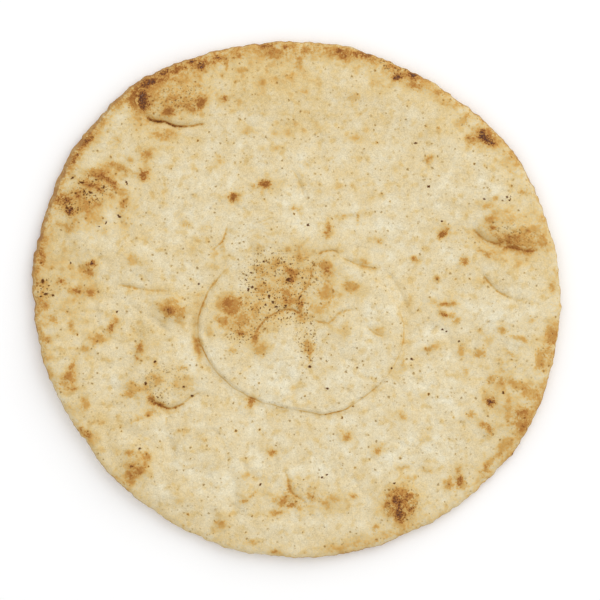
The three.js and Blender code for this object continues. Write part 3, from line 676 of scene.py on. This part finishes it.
def plan_points(radius, angle, crimps):
    """Where the turned disc's points go in plan."""
    outer = radius_at(OUTLINE_RADII, angle)
    for direction, half_width, rise in SWELLS:
        outer = outer + rise * bell(degrees_from(direction, angle), half_width)
    for count, height, start in SCALLOPS:
        outer = outer + height * np.sin(count * angle + math.radians(start))
    circle = np.column_stack((np.cos(angle), np.sin(angle), np.zeros(angle.shape))) * LOAF_RADIUS
    outer = outer + crimps * (0.8 * noise_at(circle, 4.5, 1) + noise_at(circle, 1.9, 2))
    inner = radius_at(BLISTER_RADII, angle) + BLISTER["uneven"] * noise_at(circle, 14.0, 3)
    reach = BLISTER["radius"]
    within = np.clip(radius / reach, 0.0, 1.0)
    beyond = np.clip((radius - reach) / (LOAF_RADIUS - reach), 0.0, None)
    plan = []
    for middle, way in ((BLISTER["x"], np.cos(angle)), (BLISTER["y"], np.sin(angle))):
        border = middle + inner * way
        plan.append(np.where(radius <= reach, middle + inner * within * way,
                             blend(border, outer * way, beyond)))
    return plan


def blister_rise(outside, angle, rise):
    """Height that the middle blister adds at a distance outside its border, negative inside it."""
    faint = STEP_FADES["faint"]
    step = faint + (1 - faint) * smoothstep(
        degrees_from(STEP_FADES["middle"], angle), STEP_FADES["faint_within"], STEP_FADES["full_beyond"])
    fold = GROOVE_LIES["faint"] + (1 - GROOVE_LIES["faint"]) * (1 - smoothstep(
        degrees_from(GROOVE_LIES["middle"], angle), GROOVE_LIES["full_within"],
        GROOVE_LIES["none_beyond"]))
    half = BLISTER["step_width"] / 2
    plateau = 1 - smoothstep(outside, -half, half)
    lip = bell(outside + BLISTER["lip_width"], BLISTER["lip_width"])
    groove = bell(outside - BLISTER["groove_width"], BLISTER["groove_width"])
    sunken = 1 - BLISTER["sunken"] * smoothstep(-outside, 0, BLISTER["radius"])
    return step * (rise * plateau * sunken + BLISTER["lip"] * lip - BLISTER["groove"] * fold * groove)


def pillow_rise(x, y):
    rise = np.zeros(x.shape)
    for *oval, height in PILLOWS + PUFFS:
        rise += height * np.clip(1 - oval_share(x, y, *oval), 0.0, None) ** 2
    return rise


def crease_relief(x, y):
    """The folds' relief, and where and how strongly their brown lines show."""
    relief, deepest, shown = (np.zeros(x.shape) for _ in range(3))
    gap = np.full(x.shape, FOLD_REACH)
    for depth, width, step, baked, run in CREASES.values():
        away, along = along_run(run, x, y)
        tapered = smoothstep(along, 0, CREASE_TAPER) * smoothstep(1 - along, 0, CREASE_TAPER)
        deepest = np.maximum(deepest, depth * blend(CREASE_ENDS, 1, tapered) * bell(away, width))
        relief += step / 2 * tapered * np.tanh(away / STEP_SLOPE) * bell(away, FOLD_REACH)
        strength = baked * tapered * (1 - smoothstep(np.abs(away), FOLD_REACH / 2, FOLD_REACH))
        gap = np.where(strength > shown, away, gap)
        shown = np.maximum(shown, strength)
    return relief - deepest, np.clip(gap, -FOLD_REACH, FOLD_REACH), shown


def rim_lift(x, y):
    """How far the rim has curled up off the table, which isn't the same all round."""
    angle = np.arctan2(y, x)
    share = 1 - sum(rise for _, rise, _ in LIFT_WAVES)
    for count, rise, start in LIFT_WAVES:
        share = share + rise * np.sin(count * angle + start)
    return RIM_LIFT * share


def underside_height(x, y):
    reach = np.hypot(x, y)
    inside = smoothstep(reach, REST_RADIUS, 1.5 * REST_RADIUS)
    outside = 1 - smoothstep(reach, HOLLOWS_END - REST_RADIUS / 2, HOLLOWS_END)
    hollow = np.maximum(0.0, wave_height(UNDERSIDE_WAVES, x, y)) * inside * outside
    lifted = np.clip((reach - LOAF_RADIUS) / UNDERSIDE_LIFT_BAND + 1, 0.0, 1.0)
    return rim_lift(x, y) * lifted + hollow


def fine_relief(x, y, sizes):
    """Lumps and the net of creases that is too fine for the loaf's own source."""
    flat = np.column_stack((x, y, np.zeros(x.shape)))
    warped = flat + 2.0 * np.column_stack((noise_at(flat, 9.0, 4), noise_at(flat, 9.0, 5), flat[:, 2]))
    lumps = sum(share * noise_at(warped, size, seed) for size, share, seed in LUMPS)
    size, share, seed = FINEST_LUMPS
    lumps += share * noise_at(flat, size, seed)
    net = bell(noise_at(warped, 15.0, 9), 0.07) * smoothstep(noise_at(flat, 26.0, 10), -0.25, 0.35)
    lumps *= 1 + area_field(LUMPIER, x, y)
    return (sizes.lumps * lumps - sizes.wrinkles * net) / MM


def crust_height(radius, angle, x, y, sizes, folds, bubbles):
    thinning = smoothstep(radius, LOAF_RADIUS - sizes.rim_band / MM, LOAF_RADIUS)
    edge = (sizes.edge + sizes.edge_varies * np.sin(7 * angle) * np.sin(3 * angle + 1)) / MM
    relief = pillow_rise(x, y) + wave_height(CRUST_WAVES, x, y) + folds
    relief += fine_relief(x, y, sizes) + sizes.bubbles / MM * bubbles
    lifted = smoothstep(np.hypot(x, y), LOAF_RADIUS - CRUST_LIFT_BAND, LOAF_RADIUS) ** 2
    return (blend(sizes.body / MM, edge, thinning)
            + blister_rise(radius - BLISTER["radius"], angle, sizes.blister / MM)
            + relief * (1 - RIM_SMOOTHED * thinning)
            + rim_lift(x, y) * lifted)


# ---------------------------------------------------------------- the loaf's browning

def baked_over(ground, marks):
    """Browning where marks lie over a ground, both from 0 to 1."""
    return ground + marks * (1 - ground)


def mark_field(marks, x, y, spread=1.0):
    """How strongly marks show over plain crust, with soft edges that this spreads."""
    shown = np.zeros(x.shape)
    for *oval, baked in marks:
        share = oval_share(x, y, *oval)
        near = share < MARK_REACH
        strength = (baked - PLAIN_CRUST) / (1 - PLAIN_CRUST)
        shown[near] = baked_over(shown[near], strength * np.exp(-share[near] / spread))
    return shown


def mark_edges(marks, x, y):
    """How far outside the strongest mark's edge each point is, below 0 inside, and that mark's
    strength."""
    gap, strength = np.full(x.shape, MARK_SIGHT), np.zeros(x.shape)
    strongest = np.zeros(x.shape)
    for *oval, baked in marks:
        away = (np.sqrt(oval_share(x, y, *oval)) - 1) * math.sqrt(oval[2] * oval[3])
        own = (baked - PLAIN_CRUST) / (1 - PLAIN_CRUST)
        shown = own * (1 - smoothstep(away, -MARK_SIGHT / 2, MARK_SIGHT))
        stronger = shown > strongest
        strongest = np.where(stronger, shown, strongest)
        gap, strength = np.where(stronger, away, gap), np.where(stronger, own, strength)
    return np.clip(gap, -MARK_SIGHT, MARK_SIGHT), strength


def area_field(areas, x, y):
    """A sum of soft ovals."""
    total = np.zeros(x.shape)
    for *oval, amount in areas:
        total += amount * np.exp(-oval_share(x, y, *oval) ** 1.5)
    return total


def stray_marks(count, seed):
    """Small golden spots anywhere on a face of the loaf."""
    draw = random.Random(seed)
    marks = []
    for _ in range(count):
        reach = LOAF_RADIUS * 0.97 * math.sqrt(draw.random())
        way = TURN * draw.random()
        size = draw.uniform(0.7, 1.6)
        marks.append((reach * math.cos(way), reach * math.sin(way), size, size * draw.uniform(0.6, 1.0),
                      draw.uniform(0, 180), draw.uniform(0.18, 0.3)))
    return marks


def border_strength(angle):
    """How strongly the thin brown line round the middle blister shows, all round."""
    shown = 0
    for direction, half_width, strength in BORDER_LINE:
        shown = np.maximum(shown, strength * bell(degrees_from(direction, angle), half_width))
    return shown


def shaken_points(x, y):
    """Points shaken out of place, which gives what is drawn round them an uneven outline."""
    flat = np.column_stack((x, y, np.zeros(x.shape)))
    return [along + SHAKE * sum(noise_at(flat, size, seed + i) for i, size in enumerate(SHAKE_SIZES))
            for along, seed in ((x, 21), (y, 23))]


def kept_in_place(marks):
    """Marks moved as far as the points at their middles are shaken, so that they stay there."""
    middles = np.array([mark[:2] for mark in marks], dtype=float)
    return [(x, y, *rest) for x, y, (_, _, *rest) in zip(*shaken_points(*middles.T), marks)]


def browning(radius, angle, side, x, y):
    """The fields that the crust's material reads, each a value at every point of the mesh."""
    wobble_x, wobble_y = shaken_points(x * MARKS_LOOK - MARKS_SHIFT, y * MARKS_LOOK + MARKS_SHIFT)
    scorches, rusty, golden_marks = (kept_in_place(marks) for marks in (SCORCHES, RUSTY, GOLDEN))
    top = smoothstep(side, *TOP_BAND)
    above = MARK_HALO * mark_field(scorches + rusty + golden_marks, wobble_x, wobble_y, HALO_SPREAD)
    above = baked_over(above, mark_field(stray_marks(STRAY_MARKS, MARK_SEED), wobble_x, wobble_y))
    dark, dark_strength = mark_edges(scorches + rusty, wobble_x, wobble_y)
    golden, golden_strength = mark_edges(golden_marks, wobble_x, wobble_y)
    below = mark_field(stray_marks(UNDERSIDE_MARKS, MARK_SEED + 1),
                       wobble_x / UNDERSIDE_SPREAD, wobble_y / UNDERSIDE_SPREAD)
    rim = radius_at(RIM_BAKING, angle) * smoothstep(radius, LOAF_RADIUS - RIM_BAND, LOAF_RADIUS) ** 1.5
    return {
        "baking": blend(below, above, top),
        "dark": dark,
        "dark_strength": dark_strength * top,
        "golden": golden,
        "golden_strength": golden_strength * top,
        "char": mark_field(scorches, wobble_x, wobble_y) * top,
        "mottle": area_field(PATCHES, wobble_x, wobble_y) * top + UNDERSIDE_MOTTLE * (1 - top),
        "rim": rim,
        "side": np.clip(radius - LOAF_RADIUS + radius_at(SIDE_SHOWN, angle), -1.0, 1.0),
        # real paler or more baked areas, and painted shade in the groove outside the middle blister's
        # border
        "tone": area_field(TONES_AND_SHADE, x, y) * top,
        "flecks": area_field(FLECKS, x, y) * top,
        "border": np.clip(radius - BLISTER["radius"], -BORDER_TO, BORDER_TO),
        "border_line": border_strength(angle) * top,
    }


def shape_loaf(loaf, sizes):
    """Moves the turned disc's points to the loaf's form, and gives them their browning."""
    mesh = loaf.data
    turned = np.empty(len(mesh.vertices) * 3)
    mesh.vertices.foreach_get("co", turned)
    east, north, side = turned.reshape(-1, 3).T / MM
    radius, angle = np.hypot(east, north), np.arctan2(north, east)
    x, y = plan_points(radius, angle, sizes.crimps / MM)
    folds, fold_gap, fold_line = crease_relief(x, y)
    bubbles = mark_field(SCORCHES + RUSTY + GOLDEN, x, y)
    crust = crust_height(radius, angle, x, y, sizes, folds, bubbles)
    height = blend(underside_height(x, y), crust, side)
    rim_points = np.column_stack((x, y, 6.0 * side))
    seam = bell(side - 0.45 - 0.1 * noise_at(rim_points, 9.0, 31), 0.12)
    seam *= 0.6 + 0.4 * noise_at(rim_points, 5.0, 32)
    seam *= smoothstep(radius, LOAF_RADIUS - EDGE_ROUND / 2, LOAF_RADIUS)
    inwards = 1 - sizes.seam / MM * seam / LOAF_RADIUS
    points = np.column_stack((x * inwards, y * inwards, height)) * MM
    middle = (points.min(axis=0) + points.max(axis=0)) / 2
    cad_low, cad_high = CAD_BOX
    points[:, 0] += (cad_low.x + cad_high.x) / 2 - middle[0]
    points[:, 1] += (cad_low.y + cad_high.y) / 2 - middle[1]
    points[:, 2] += cad_low.z - points[:, 2].min()
    mesh.vertices.foreach_set("co", points.ravel())
    fields = browning(radius, angle, side, x, y)
    fields.update(fold=fold_gap, fold_line=fold_line * smoothstep(side, *TOP_BAND))
    for name, values in fields.items():
        layer = mesh.attributes.new(name, "FLOAT", "POINT")
        layer.data.foreach_set("value", values)
    mesh.update()


# ---------------------------------------------------------------- shader expressions

def linear(value):
    """A colour as it is picked, turned to the linear values that a shader takes."""
    picked = [c / 12.92 if c <= 0.04045 else ((c + 0.055) / 1.055) ** 2.4 for c in value]
    return (*picked, 1.0)


class Signal:
    """A shader socket. Arithmetic on it adds Math nodes to its tree."""

    def __init__(self, shader, socket):
        self.shader = shader
        self.socket = socket

    def math(self, operation, *values, clamp=False):
        return self.shader.node("ShaderNodeMath", {"operation": operation, "use_clamp": clamp}, *values)

    def __add__(self, other):
        return self.math("ADD", self, other)

    def __sub__(self, other):
        return self.math("SUBTRACT", self, other)

    def __rsub__(self, other):
        return self.math("SUBTRACT", other, self)

    def __mul__(self, other):
        return self.math("MULTIPLY", self, other)

    __radd__ = __add__
    __rmul__ = __mul__

    def size(self):
        return self.math("ABSOLUTE", self)

    def larger(self, other):
        return self.math("MAXIMUM", self, other)

    def clamped(self):
        return self.math("ADD", self, 0.0, clamp=True)

    def over(self, low, high):
        """0 below low, 1 above high and smooth between them."""
        settings = {"interpolation_type": "SMOOTHSTEP"}
        return self.shader.node("ShaderNodeMapRange", settings, self, low, high, 0.0, 1.0)


class Shader:
    """A material's node tree, built by expressions."""

    def __init__(self, name):
        self.material = bpy.data.materials.new(name)
        self.material.use_nodes = True
        self.tree = self.material.node_tree
        self.tree.nodes.clear()

    def node(self, kind, settings=None, *values, output=0, **named):
        """Any node: its settings first, then its sockets by order or by name. Gives an output."""
        made = self.tree.nodes.new(kind)
        for key, value in (settings or {}).items():
            if key == "stops":
                self.set_stops(made.color_ramp, value)
            else:
                setattr(made, key, value)
        sockets = [(made.inputs[i], value) for i, value in enumerate(values)]
        sockets += [(made.inputs[key.replace("_", " ")], value) for key, value in named.items()]
        for socket, value in sockets:
            if isinstance(value, Signal):
                self.tree.links.new(value.socket, socket)
            elif value is not None:
                socket.default_value = value
        return Signal(self, made.outputs[output]) if made.outputs else made

    @staticmethod
    def set_stops(ramp, stops):
        while len(ramp.elements) < len(stops):
            ramp.elements.new(0.5)
        for element, (position, value) in zip(ramp.elements, stops):
            element.position, element.color = position, value

    def attribute(self, name):
        return self.node("ShaderNodeAttribute", {"attribute_name": name}, output="Fac")

    def noise(self, vector, size, detail, roughness):
        """Noise round 0 with features of this size in millimetres."""
        return self.node("ShaderNodeTexNoise", None, Vector=vector, Scale=1 / size, Detail=detail,
                         Roughness=roughness) - 0.5

    def shaken(self, vector, size, reach):
        """A place moved by up to about a third of this reach, differently at each of its points."""
        lots = self.node("ShaderNodeTexNoise", None, Vector=vector, Scale=1 / size, Detail=1.0,
                         output="Color")
        lots = self.vector("SUBTRACT", lots, (0.5, 0.5, 0.5))
        return self.vector("MULTIPLY_ADD", lots, (reach, reach, reach), vector)

    def vector(self, operation, *values, **named):
        return self.node("ShaderNodeVectorMath", {"operation": operation}, *values, **named)

    def mix(self, share, first, second):
        return self.node("ShaderNodeMix", {"data_type": "RGBA"}, share, None, None, None, None, None,
                         first, second, output=2)


def specks(shader, vector, cell, radius, share):
    """Round specks, one in some of the cells, and the baked rings round them: 1 in one, 0 outside."""
    near = shader.node("ShaderNodeTexVoronoi", {"feature": "F1"}, Vector=vector, Scale=1 / cell,
                       output="Distance")
    lots = Signal(shader, near.socket.node.outputs["Color"])
    size_lot, lot = (shader.node("ShaderNodeSeparateColor", None, lots, output=name)
                     for name in ("Red", "Green"))
    size = (size_lot * 0.9 + 0.45) * (radius / cell)
    drawn = (share - lot).over(0.0, 0.02)
    return [(size * spread - near).over(0.0, soft * radius / cell) * drawn
            for spread, soft in ((1, 0.5), (1.8, 1.4))]


def brown_line(distance, strength, width):
    """A line that is strongest where a distance is 0."""
    return (width - distance.size()).over(0.0, width) * strength


def pinned(shader, place):
    """The dark pins and dashes: 1 in one and 0 outside."""
    height = shader.node("ShaderNodeSeparateXYZ", None, place, output="Z")
    shown = 0.0
    for x, y, half_length, half_width, turn in PINS:
        local = shader.node("ShaderNodeMapping", {"vector_type": "TEXTURE"}, place, (x, y, 0.0),
                            (0.0, 0.0, math.radians(turn)), (half_length, half_width, PIN_DEPTH))
        away = shader.vector("LENGTH", local, output="Value")
        shown = (1.2 - away).over(0.0, 0.7).larger(shown)
    return shown * height.over(3.0, 4.0)


def marked(shader, ground, name, ragged, fine, depth):
    """A ground with marks over it: a soft glow, and grains that crowd towards a mark's middle."""
    gap, strength = shader.attribute(name), shader.attribute(name + "_strength")
    glow = (ragged * 0.42 - gap).over(-1.6, 1.6)
    core = (ragged * 0.52 - gap).over(-0.9, 1.4)
    grains = (core * 1.1 + fine * 0.58).over(0.1, 1.15)
    ground = baked_over(ground, glow * strength * 0.38)
    return baked_over(ground, grains * strength * depth)


def browned_crust(shader, noises, speck_rings):
    """How baked the crust is all over, from 0, pale, to 1, black."""
    broad, patchy, blotchy, mealy, grain, dusty = noises
    faint_rings, bran_rings, dark_rings, dense_rings = speck_rings
    baking, mottle, rim, tone = (shader.attribute(name) for name in ("baking", "mottle", "rim", "tone"))
    # This field lightens or bakes the crust in places. It also holds painted shade: the shadow in the
    # groove outside the middle blister's border.
    browned = broad * 0.28 + patchy * 0.4 + mealy * 0.1 - tone * 0.08
    browned = browned + blotchy.over(0.02, 0.24) * 0.13 + 0.12

    crumbs = (patchy * 0.2 + mealy * 0.35 + grain * 0.3 + dusty * 0.15).over(-0.12, 0.14)
    browned = baked_over(browned, mottle * (crumbs * 0.85 + 0.4) + rim * (crumbs * 1.1 + 0.2))
    rings = (faint_rings * 0.07 + bran_rings * 0.14 + dark_rings * 0.28).clamped()
    browned = baked_over(browned, rings + dense_rings * 0.12)

    fine = grain * 2.4 + dusty * 1.4 + mealy * 0.8
    browned = baked_over(browned, (baking * (fine * 0.8 + 0.9)).clamped())
    ragged = mealy * 3.4 + grain * 2.4
    browned = marked(shader, browned, "golden", ragged, fine, 0.7)
    browned = marked(shader, browned, "dark", ragged * 0.75, fine, 0.76)

    fold = shader.attribute("fold") + mealy * 0.8 + grain * 0.5
    border = shader.attribute("border") + mealy * 0.5 - 0.4
    fold_line, border_line = (shader.attribute(name) * (crumbs * 0.8 + 0.5)
                              for name in ("fold_line", "border_line"))
    for distance, strength, width in (
            (fold, fold_line, 0.6), (fold, fold_line * 0.25, 2.2),
            (border, border_line, 0.5), (border - 0.9, border_line * 0.25, 2.4)):
        browned = baked_over(browned, brown_line(distance, strength, width))
    sunk = brown_line(fold, fold_line, 0.7) * 0.5 + brown_line(border, border_line, 0.7) * 0.06
    return browned, fine, sunk


def crust_material(colours):
    shader = Shader("baked_crust")
    place = shader.vector("SCALE", shader.node("ShaderNodeTexCoord", output="Object"), Scale=1 / MM)
    noises = [shader.noise(place, *lot) for lot in NOISES.values()]
    _, patchy, _, mealy, grain, dusty = noises
    crackle = (CRACKLE - shader.noise(place, 3.4, 2.0, 0.6).size()).over(0.0, CRACKLE)
    shaken = shader.shaken(place, 0.6, SPECK_SHAKE)
    (faint, faint_rings), (bran, bran_rings), (dark, dark_rings), (dense, dense_rings), (dust, _), (
        flour, _) = (specks(shader, shaken, *lot) for lot in SPECKS.values())
    crowd = (shader.attribute("flecks") + shader.attribute("mottle") * 0.4).over(0.2, 0.8)
    browned, fine, sunk = browned_crust(
        shader, noises, (faint_rings, bran_rings, dark_rings, dense_rings * crowd))

    stops = [(0.0, colours.pale), (0.1, colours.cream), (0.27, colours.straw), (0.42, colours.golden),
             (0.6, colours.brown), (0.78, colours.dark), (1.0, colours.black)]
    stops = [(place_on_ramp, linear(tint)) for place_on_ramp, tint in stops]
    tint = shader.node("ShaderNodeValToRGB", {"stops": stops}, browned)
    scorched = (shader.attribute("char") * 1.25 + fine * 0.75).over(0.58, 0.95)
    tint = shader.mix(scorched * 0.85, tint, linear(colours.char))
    ashy = scorched * (grain * 0.4 - dusty - 0.05).over(0.0, 0.08)
    tint = shader.mix(ashy * 0.7, tint, linear(colours.ash))
    side = (shader.attribute("side") + mealy * 1.2 + grain * 0.6).over(0.0, 0.4)
    tint = shader.mix(side * (patchy * 1.1 + 0.6), tint, linear(colours.wall))
    flecked = (faint * 0.3 + bran * 0.5 + dark * 0.85).clamped()
    tint = shader.mix(flecked, tint, linear(colours.bran))
    pins = (dust.larger(dense) * crowd * 0.85).larger(pinned(shader, shaken))
    tint = shader.mix(pins, tint, linear(colours.pin))
    # Painted shade: neutral light and dark flecks and darker fine cracks scale the colour, in place of
    # the light and shade on the crust's fine relief. The flour term adds real pale flour specks.
    shade = grain * 0.24 + dusty * 0.4 + mealy * 0.22 - crackle * 0.05 + 1.0
    shade = shade + flour * (1 - flecked) * 0.09
    tint = shader.vector("SCALE", tint, Scale=shade)

    height = patchy * 0.12 + mealy * 0.14 + grain * 0.08 - bran * 0.1 - crackle * 0.05 - sunk
    normal = shader.node("ShaderNodeBump", None, Strength=0.9, Distance=MM, Height=height)
    roughness = mealy * 0.2 + 0.78 - shader.attribute("baking") * 0.12
    surface = shader.node("ShaderNodeBsdfPrincipled", None, Base_Color=tint, Roughness=roughness,
                          Normal=normal, IOR=1.4, Specular_IOR_Level=0.2)
    shader.node("ShaderNodeOutputMaterial", None, surface)
    return shader.material


def plain_material(name, tint, roughness):
    shader = Shader(name)
    surface = shader.node("ShaderNodeBsdfPrincipled", None, Base_Color=linear(tint),
                          Roughness=roughness)
    shader.node("ShaderNodeOutputMaterial", None, surface)
    return shader.material


# ---------------------------------------------------------------- operators

class PITA_OT_loaf(bpy.types.Operator):
    """Make the loaf with its crust, folds and browned marks"""

    bl_idname = "pita.loaf"
    bl_label = "Loaf"

    def execute(self, context):
        settings = context.scene
        loaf = turned_disc("baked_loaf", cross_section())
        shape_loaf(loaf, settings.pita_sizes)
        loaf.data.materials.append(crust_material(settings.pita_colours))
        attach(loaf, BODY)
        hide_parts(NODE)
        return {"FINISHED"}


class PITA_OT_stage(bpy.types.Operator):
    """Make the floor, the lights and the camera straight over the loaf"""

    bl_idname = "pita.stage"
    bl_label = "Studio"

    floor_radius = 6.0
    floor_gap = 0.00005  # how far the floor lies under the loaf
    key_size, key_place = 1.3, (0.75, 0.8, 0.95)
    overhead_size, overhead_place = 1.2, (-0.1, 0.0, 1.3)
    camera_place = (0.00119, -0.00017)  # the loaf sits a little left of the frame's middle

    def execute(self, context):
        stage = context.scene.pita_stage
        self.floor(stage)
        self.softbox("key_light", stage.key, self.key_size, self.key_place)
        self.softbox("overhead_light", stage.overhead, self.overhead_size, self.overhead_place)
        self.sky(context.scene, stage)
        self.camera(context.scene, stage)
        return {"FINISHED"}

    def floor(self, stage):
        disc = bmesh.new()
        bmesh.ops.create_circle(disc, cap_ends=True, segments=96, radius=self.floor_radius)
        mesh = bpy.data.meshes.new("floor")
        disc.to_mesh(mesh)
        disc.free()
        mesh.materials.append(plain_material("pale_floor", stage.floor, 0.9))
        floor = bpy.data.objects.new("floor", mesh)
        floor.location.z = CAD_BOX[0].z - self.floor_gap
        bpy.context.scene.collection.objects.link(floor)

    def softbox(self, name, power, size, place):
        light = bpy.data.lights.new(name, "AREA")
        light.energy, light.size = power, size
        lamp = bpy.data.objects.new(name, light)
        lamp.location = place
        lamp.rotation_euler = (-Vector(place)).to_track_quat("-Z", "Y").to_euler()
        bpy.context.scene.collection.objects.link(lamp)

    def sky(self, scene, stage):
        scene.world = bpy.data.worlds.new("studio_sky")
        scene.world.use_nodes = True
        background = scene.world.node_tree.nodes["Background"]
        background.inputs["Color"].default_value = (1.0, 1.0, 1.0, 1.0)
        background.inputs["Strength"].default_value = stage.sky
        scene.view_settings.view_transform = "Standard"

    def camera(self, scene, stage):
        lens = bpy.data.cameras.new("camera")
        camera = bpy.data.objects.new("camera", lens)
        lens.lens = lens.sensor_width * stage.distance / stage.frame_width
        middle = (CAD_BOX[0] + CAD_BOX[1]) / 2
        camera.location = (middle.x + self.camera_place[0], middle.y + self.camera_place[1],
                           stage.distance + middle.z)
        scene.collection.objects.link(camera)
        scene.camera = camera


class PITA_PT_panel(bpy.types.Panel):
    """The pieces and their sizes and colours"""

    bl_idname = "PITA_PT_panel"
    bl_label = "Pita Bread"
    bl_space_type = "VIEW_3D"
    bl_region_type = "UI"
    bl_category = "Pita"

    def draw(self, context):
        scene = context.scene
        for group in (scene.pita_sizes, scene.pita_colours, scene.pita_stage):
            box = self.layout.box()
            for name in group.__annotations__:
                box.prop(group, name)
        for operator in (PITA_OT_loaf, PITA_OT_stage):
            self.layout.operator(operator.bl_idname)


CLASSES = (PitaSizes, PitaColours, PitaStage, PITA_OT_loaf, PITA_OT_stage, PITA_PT_panel)
GROUPS = {"pita_sizes": PitaSizes, "pita_colours": PitaColours, "pita_stage": PitaStage}


def register():
    for item in CLASSES:
        bpy.utils.register_class(item)
    for name, group in GROUPS.items():
        setattr(bpy.types.Scene, name, PointerProperty(type=group))


def unregister():
    for name in GROUPS:
        delattr(bpy.types.Scene, name)
    for item in reversed(CLASSES):
        bpy.utils.unregister_class(item)


def main():
    register()
    bpy.ops.pita.loaf()
    bpy.ops.pita.stage()


if __name__ == "__main__":
    main()
